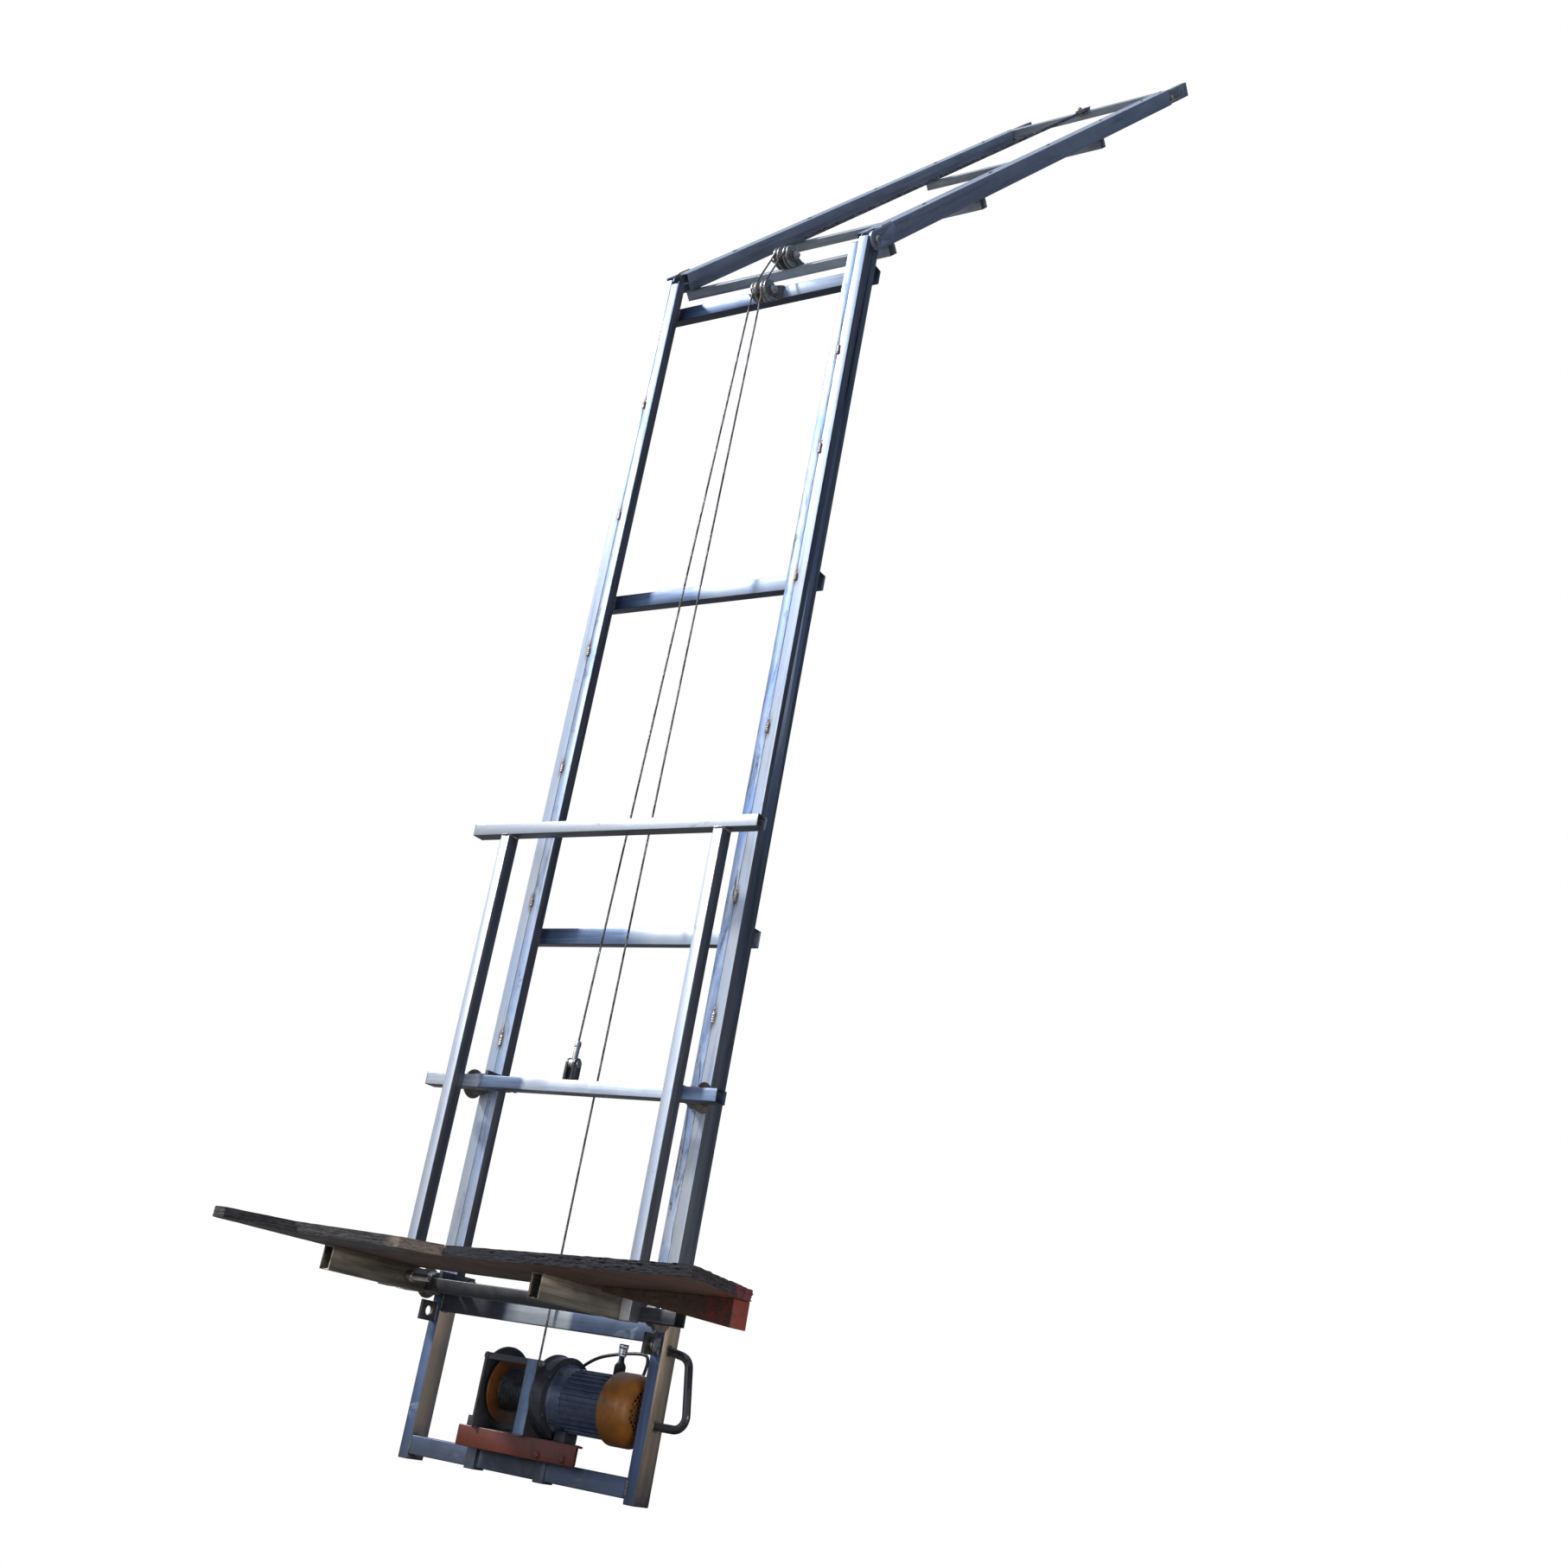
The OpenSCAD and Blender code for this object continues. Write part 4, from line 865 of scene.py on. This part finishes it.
def make_fasteners():
    mast = Piece("mast_bolts", ROOT, "zinc", "zinc", "dark_plate", "red")
    for x, way in ((-0.0172, -1), (0.0502, 1)):
        mast.bolt((x, LOW_SHEAVE.y, LOW_SHEAVE.z), (way, 0, 0), 12, 4)
    pin_head = [(0, 12.5), (1.5, 12.4), (3.2, 10.5), (4, 6), (4.2, 0.5)]
    for side in (1, -1):
        mast.turned((side * 0.38, 0.036, 3.475), (side, 0, 0), pin_head, 28)
        mast.turned((side * 0.3287, 0.036, 3.475), (-side, 0, 0), [(-1, 14), (0, 14), (1.4, 13.2)], 28)
    for x, y, way in ((0.05, -0.0365, 1), (0.05, 0.1175, 1), (-0.114, 0.1175, -1)):
        mast.bolt((x, y, 0.2695), (way, 0, 0), 8, 3)
    mast.bolt((-0.126, -0.021, 0.128), (0, 0, 1), 8, 4)
    # Gearbox flange, fan cover, channel and lug
    for k in range(4):
        t = math.tau * (k + 0.5) / 4
        mast.bolt((0.0905, AXIS_Y + 0.0775 * math.cos(t), AXIS_Z + 0.0775 * math.sin(t)), (1, 0, 0), 7, 3, 1)
    screw = [(-0.5, 4.6), (0.4, 4.6), (1.6, 3.4), (2.0, 1.6)]
    for k in range(3):
        out = Vector((0, math.cos(math.tau * k / 3 + 0.9), math.sin(math.tau * k / 3 + 0.9)))
        mast.turned(Vector((0.262, AXIS_Y, AXIS_Z)) + out * 0.0838, out, screw, 16, 1)
    for x in (0.094, 0.17):
        mast.turned((x, -0.0402, 0.068), (0, -1, 0), [(-0.4, 11.5), (0.7, 11.5), (1.1, 11)], 24, 2)
    mast.turned((0.367, -0.027, 0.352), (1, 0, 0), [(-1, 14.6), (-0.2, 14.2), (0.2, 12), (0.6, 5)], 24)
    mast.finish()

    roof = Piece("roof_bolts", "roof_frame", "zinc", "zinc")
    for x, way in ((-0.0172, -1), (0.0502, 1)):
        roof.bolt(HIGH_SHEAVE + Vector((x, 0, 0)), (way, 0, 0), 12, 4)
    roof.bolt(on_roof(SHEAVE_GAP / 2, -0.0137, 2.69), -DEPTH, 9, 3)
    for side in (1, -1):
        roof.turned(on_roof(side * 0.3702, 0.032, 2.8), (side, 0, 0), [(0, 5.8), (2.6, 5.6), (3.4, 4.6)], 16)
    roof.finish()

    carriage = Piece("carriage_bolts", "carriage", "zinc", "zinc")
    for z in (0.418, 0.932):
        for side in (1, -1):
            for x, y, up, way, size, stub in AXLE_BOLTS:
                carriage.bolt((side * x, y, z + up), (side * way, 0, 0), size, stub)
    pin_head = [(-2, 9.5), (0, 9.5), (1.2, 8.8), (1.4, 3)]
    for side in (1, -1):
        carriage.turned((side * 0.018, LUG_PIN.y, LUG_PIN.z), (side, 0, 0), pin_head, 20)
        carriage.turned((side * 0.235, -0.175, 0.418), (-side, 0, 0), [(-0.4, 8), (1.2, 7), (1.8, 5)], 20)
    collar = [(-3, 7.4), (-2, 8.4), (8, 8.2), (11, 6.5), (13.5, 3.4)]
    carriage.turned(LUG_PIN + CAR_ROPE_WAY * 0.046, CAR_ROPE_WAY, collar, 20)
    carriage.finish()


# ---- drive details
def smoothed(points, steps):
    """A smooth curve through the points."""
    made = []
    for i in range(len(points) - 1):
        p0, p1, p2 = points[max(i - 1, 0)], points[i], points[i + 1]
        p3 = points[min(i + 2, len(points) - 1)]
        for k in range(steps):
            t = k / steps
            made.append(0.5 * (2 * p1 + (p2 - p0) * t + (2 * p0 - 5 * p1 + 4 * p2 - p3) * t ** 2
                               + (3 * p1 - 3 * p2 + p3 - p0) * t ** 3))
    return made + [points[-1]]


def make_drive():
    lead = Piece("motor_cable", ROOT, "black_plastic", "black", "chrome", replaces=("motor_lead",))
    route = [(0.142, 0.118, 0.24), (0.118, 0.1195, 0.241), (0.09, 0.134, 0.251), (0.055, 0.138, 0.26),
             (0.034, 0.138, 0.272), (0.048, 0.138, 0.289), (0.088, 0.138, 0.311), (0.145, 0.138, 0.3255),
             (0.195, 0.138, 0.3325), (0.224, 0.138, 0.331), (0.2315, 0.138, 0.316), (0.23, 0.134, 0.288),
             (0.226, 0.125, 0.258), (0.217, 0.119, 0.243), (0.202, 0.118, 0.24)]
    lead.tube(smoothed([Vector(p) for p in route], 6), 0.004, 14, (0, 1, 0))
    gland = [(-2, 9.5), (3, 9.5), (4, 8.4), (9, 7.2), (10, 7.9), (11.5, 7.9), (12.5, 6.4), (18, 4.5)]
    for end, way in ((route[0], -1), (route[-1], 1)):
        lead.turned(end, (way, 0, 0), gland, 20)
    foot = (0.18, 0.102, 0.26)
    boot = [(-1, 16), (2, 16), (3, 14.2)]
    for k in range(8):
        boot += [(5 + 3.6 * k, 13.4), (6.4 + 3.6 * k, 14.2), (8 + 3.6 * k, 14.2)]
    boot += [(39, 13.2), (44, 9.6), (48, 7.2), (61, 6.8)]
    lead.turned(foot, (0, 0, 1), boot, 28)
    plug = [(58, 7.6), (60, 9.6), (63, 10.2), (65, 9.6)]
    for k in range(5):
        plug += [(66 + 2.2 * k, 10.8), (67.2 + 2.2 * k, 10.8), (67.8 + 2.2 * k, 10.2)]
    plug += [(78, 11.2), (86.4, 12), (88, 11.4), (88, 9.2), (82, 8.8)]
    lead.turned(foot, (0, 0, 1), plug, 32, 1)
    lead.finish(30)

    box = Piece("terminal_lid", ROOT, "black_plastic", "black", "zinc")
    box.block((140.5, 82.5, 259.2), (203.5, 133.5, 262.5), 1.0)
    box.block((140.9, 116.5, 252.6), (203.1, 133.1, 255.0), 0.8)
    for x in (0.1465, 0.1975):
        for y in (0.0885, 0.1275):
            box.turned((x, y, 0.2625), (0, 0, 1), [(-0.4, 3.2), (1.4, 3.1), (2.2, 2.0), (1.6, 0.6)], 14, 1)
    box.finish(30)

    ribs = Piece("gearbox_ribs", ROOT, "gearbox_black", "gearbox")
    middle = Vector((0, AXIS_Y, AXIS_Z))
    for k in range(6):
        turn = Matrix.Translation(middle) @ Matrix.Rotation(math.tau * k / 6 + 0.1, 4, "X")
        ribs.skin([[turn @ Vector((x, y, z)) for y, z in
                    ((-half, 0.08), (half, 0.08), (half * 0.8, 0.0925), (-half * 0.8, 0.0925))]
                   for x, half in ((0.0835, 0.0042), (0.0862, 0.003))])
    for x, profile in ((0.0838, [(-1.0, 95.3), (-0.4, 96.2), (0.9, 96.2), (1.4, 95.2)]),
                       (0.0497, [(0.6, 95.3), (1.2, 96.2), (5.4, 96.2), (6.2, 95.2)])):
        ribs.turned((x, AXIS_Y, AXIS_Z), (1, 0, 0), profile, 72)
    ribs.finish(30)


# ---- boards
PLIES = 9
THICK = 0.024
BOARD_LOW = 0.443


def outline(corners, step=0.007):
    """Evenly spaced points round a board."""
    points = []
    for i, corner in enumerate(corners):
        a, b = Vector((*corner, 0)), Vector((*corners[(i + 1) % len(corners)], 0))
        count = max(1, round((b - a).length / step))
        points += [a.lerp(b, k / count) for k in range(count)]
    return points


def torn_rings(points, tear, seed):
    """Two rings for each ply, worn back by how torn the board is there; the outer faces droop a little."""
    heights = [0.0]
    for k in range(1, PLIES):
        heights += [THICK * k / PLIES - 0.0004, THICK * k / PLIES + 0.0004]
    heights.append(THICK)
    rings = []
    for level, height in enumerate(heights):
        ply = (level + 1) // 2
        face = level in (0, len(heights) - 1)
        ring = []
        for i, point in enumerate(points):
            before, after = points[i - 1], points[(i + 1) % len(points)]
            out = Vector((after.y - before.y, before.x - after.x, 0)).normalized()
            rough = tear(point)
            fray = noise.noise(point * 60 + seed + Vector((0, 0, ply * 3.1)))
            fine = noise.noise(point * 330 + Vector((0, 0, ply * 5.7)) + seed)
            broad = noise.noise(point * 14 + seed)
            depth = 0.0006 + rough * (0.0016 + 0.003 * fray + 0.0018 * fine + 0.0025 * broad)
            if face or ply == PLIES - 1:
                depth += 0.0006
            droop = 0.0009 * rough * noise.noise((point * 60 + seed) * 0.6) if face else 0
            ring.append(Vector((point.x, point.y, BOARD_LOW + height + droop)) - out * max(0.0, depth))
        rings.append(ring)
    return rings


def make_board(name, corners, looks, replaces, tear, seed):
    """A plywood board: torn plies round its edge, and faces that are slightly uneven."""
    seed = Vector((seed, seed * 2, 0))
    rings = torn_rings(outline(corners), tear, seed)
    piece = Piece(name, "carriage", "plywood", *looks, replaces=replaces)
    piece.skin(rings, 1, caps=False)
    for ring, look in ((rings[0], 0), (rings[-1], 2)):
        work = bmesh.new()
        work.faces.new([work.verts.new(p) for p in ring])
        for way in (Vector((1, 0, 0)), Vector((0.26, 1, 0)).normalized()):
            for k in range(-40, 45):
                bmesh.ops.bisect_plane(work, geom=work.verts[:] + work.edges[:] + work.faces[:],
                                       plane_co=way * (k * 0.03), plane_no=way, dist=1e-7)
        for v in work.verts:
            if not any(e.is_boundary for e in v.link_edges):
                v.co.z += 0.0005 * noise.noise(Vector((v.co.x, v.co.y, 0)) * 26 + seed)
        start = len(piece.verts)
        work.verts.index_update()
        piece.verts.extend(v.co.copy() for v in work.verts)
        piece.faces.extend(tuple(start + v.index for v in face.verts) for face in work.faces)
        piece.tones += [look] * (len(piece.faces) - len(piece.tones))
        work.free()
    piece.finish(50)


def make_boards():
    def front(x):
        return -0.509 - 0.2725 * x

    def right_torn(p):
        return 0.35 + 0.9 * max(0.0, min(1.0, (p.x - 0.1) / 0.5)) if p.y < -0.2 else 0.25

    left, clear = -0.345, -0.15
    long_board = [(left, clear), (left, front(left)), (0.947, front(0.947)), (0.85, -0.4015), (0.42, -0.226),
                  (0.36, -0.168), (0.355, clear)]
    make_board("deck_plywood", long_board, ("board", "board_edge", "board_top"), ("deck_board",), right_torn, 3.0)
    scrap = [(left, front(left) - 0.0008), (left, -0.788), (-0.305, -0.792), (-0.214, -0.668), (0.06, -0.612),
             (0.13, front(0.13) - 0.0008)]
    make_board("scrap_plywood", scrap, ("offcut", "scraped_edge", "board_top"), ("deck_offcut",), lambda p: 0.55, 11.0)


# ---- stage and light
# Soft light of the studio from the dim side behind the mast to the bright side over the front left
SKY = [(0.0, (0.035, 0.045, 0.075)), (0.35, (0.06, 0.08, 0.13)), (0.6, (0.2, 0.26, 0.38)),
       (0.8, (0.42, 0.5, 0.66)), (1.0, (0.72, 0.78, 0.88))]
FLOOR_HALF = 60
FLOOR_Z = -0.001


def make_sky():
    world = bpy.data.worlds.new("world")
    bpy.context.scene.world = world
    sky = Nodes(world)
    toward = sky.add("ShaderNodeVectorMath")
    toward.operation = "DOT_PRODUCT"
    toward.inputs[1].default_value = Vector((-0.55, -0.62, 0.56)).normalized()
    sky.link(sky.add("ShaderNodeTexCoord").outputs["Generated"], toward.inputs[0])
    spread = sky.add("ShaderNodeMapRange", **{"From Min": -1})
    sky.link(toward.outputs["Value"], spread.inputs["Value"])
    lit = sky.add("ShaderNodeBackground")
    sky.link(sky.ramp(spread.outputs[0], *SKY), lit.inputs[0])
    sky.show_white("ShaderNodeOutputWorld", lit.outputs[0], "ShaderNodeBackground")


def make_floor():
    mesh = bpy.data.meshes.new("floor")
    mesh.from_pydata([(x * FLOOR_HALF, y * FLOOR_HALF, FLOOR_Z) for x, y in ((-1, -1), (1, -1), (1, 1), (-1, 1))],
                     [], [(0, 1, 2, 3)])
    floor = bpy.data.objects.new("floor", mesh)
    bpy.context.scene.collection.objects.link(floor)
    material = bpy.data.materials.new("floor_pale")
    pale = Nodes(material)
    lit = pale.add("ShaderNodeBsdfDiffuse", Color=(0.22, 0.215, 0.21, 1))
    pale.show_white("ShaderNodeOutputMaterial", lit.outputs[0], "ShaderNodeEmission")
    mesh.materials.append(material)


def make_light(name, kind, place, target, power, tone, size):
    """A lamp; size is the sun's angle or the panel's width."""
    data = bpy.data.lights.new(name, kind)
    data.energy = power
    data.color = tone
    if kind == "AREA":
        data.size = size
    else:
        data.angle = size
    obj = bpy.data.objects.new(name, data)
    obj.location = place
    obj.rotation_euler = (Vector(target) - Vector(place)).to_track_quat("-Z", "Y").to_euler()
    obj.visible_camera = False
    bpy.context.scene.collection.objects.link(obj)


make_camera()
dress_nodes()
random.seed(7)
make_ropes()
make_welds()
make_fasteners()
make_drive()
make_boards()
make_sky()
make_floor()
make_light("key", "SUN", (-8, -5, 9.5), (0, 0, 2), 3.9, (1.0, 0.97, 0.93), math.radians(5))
make_light("fill", "AREA", (0.5, -7.5, 1.4), (0, 0, 0.5), 60, (0.86, 0.92, 1.0), 3)
make_light("bounce", "AREA", (1.5, -0.5, 0.06), (0.3, 0, 0.3), 9, (1.0, 0.9, 0.78), 0.8)
bpy.context.scene.view_settings.view_transform = "Standard"
bpy.context.view_layer.update()
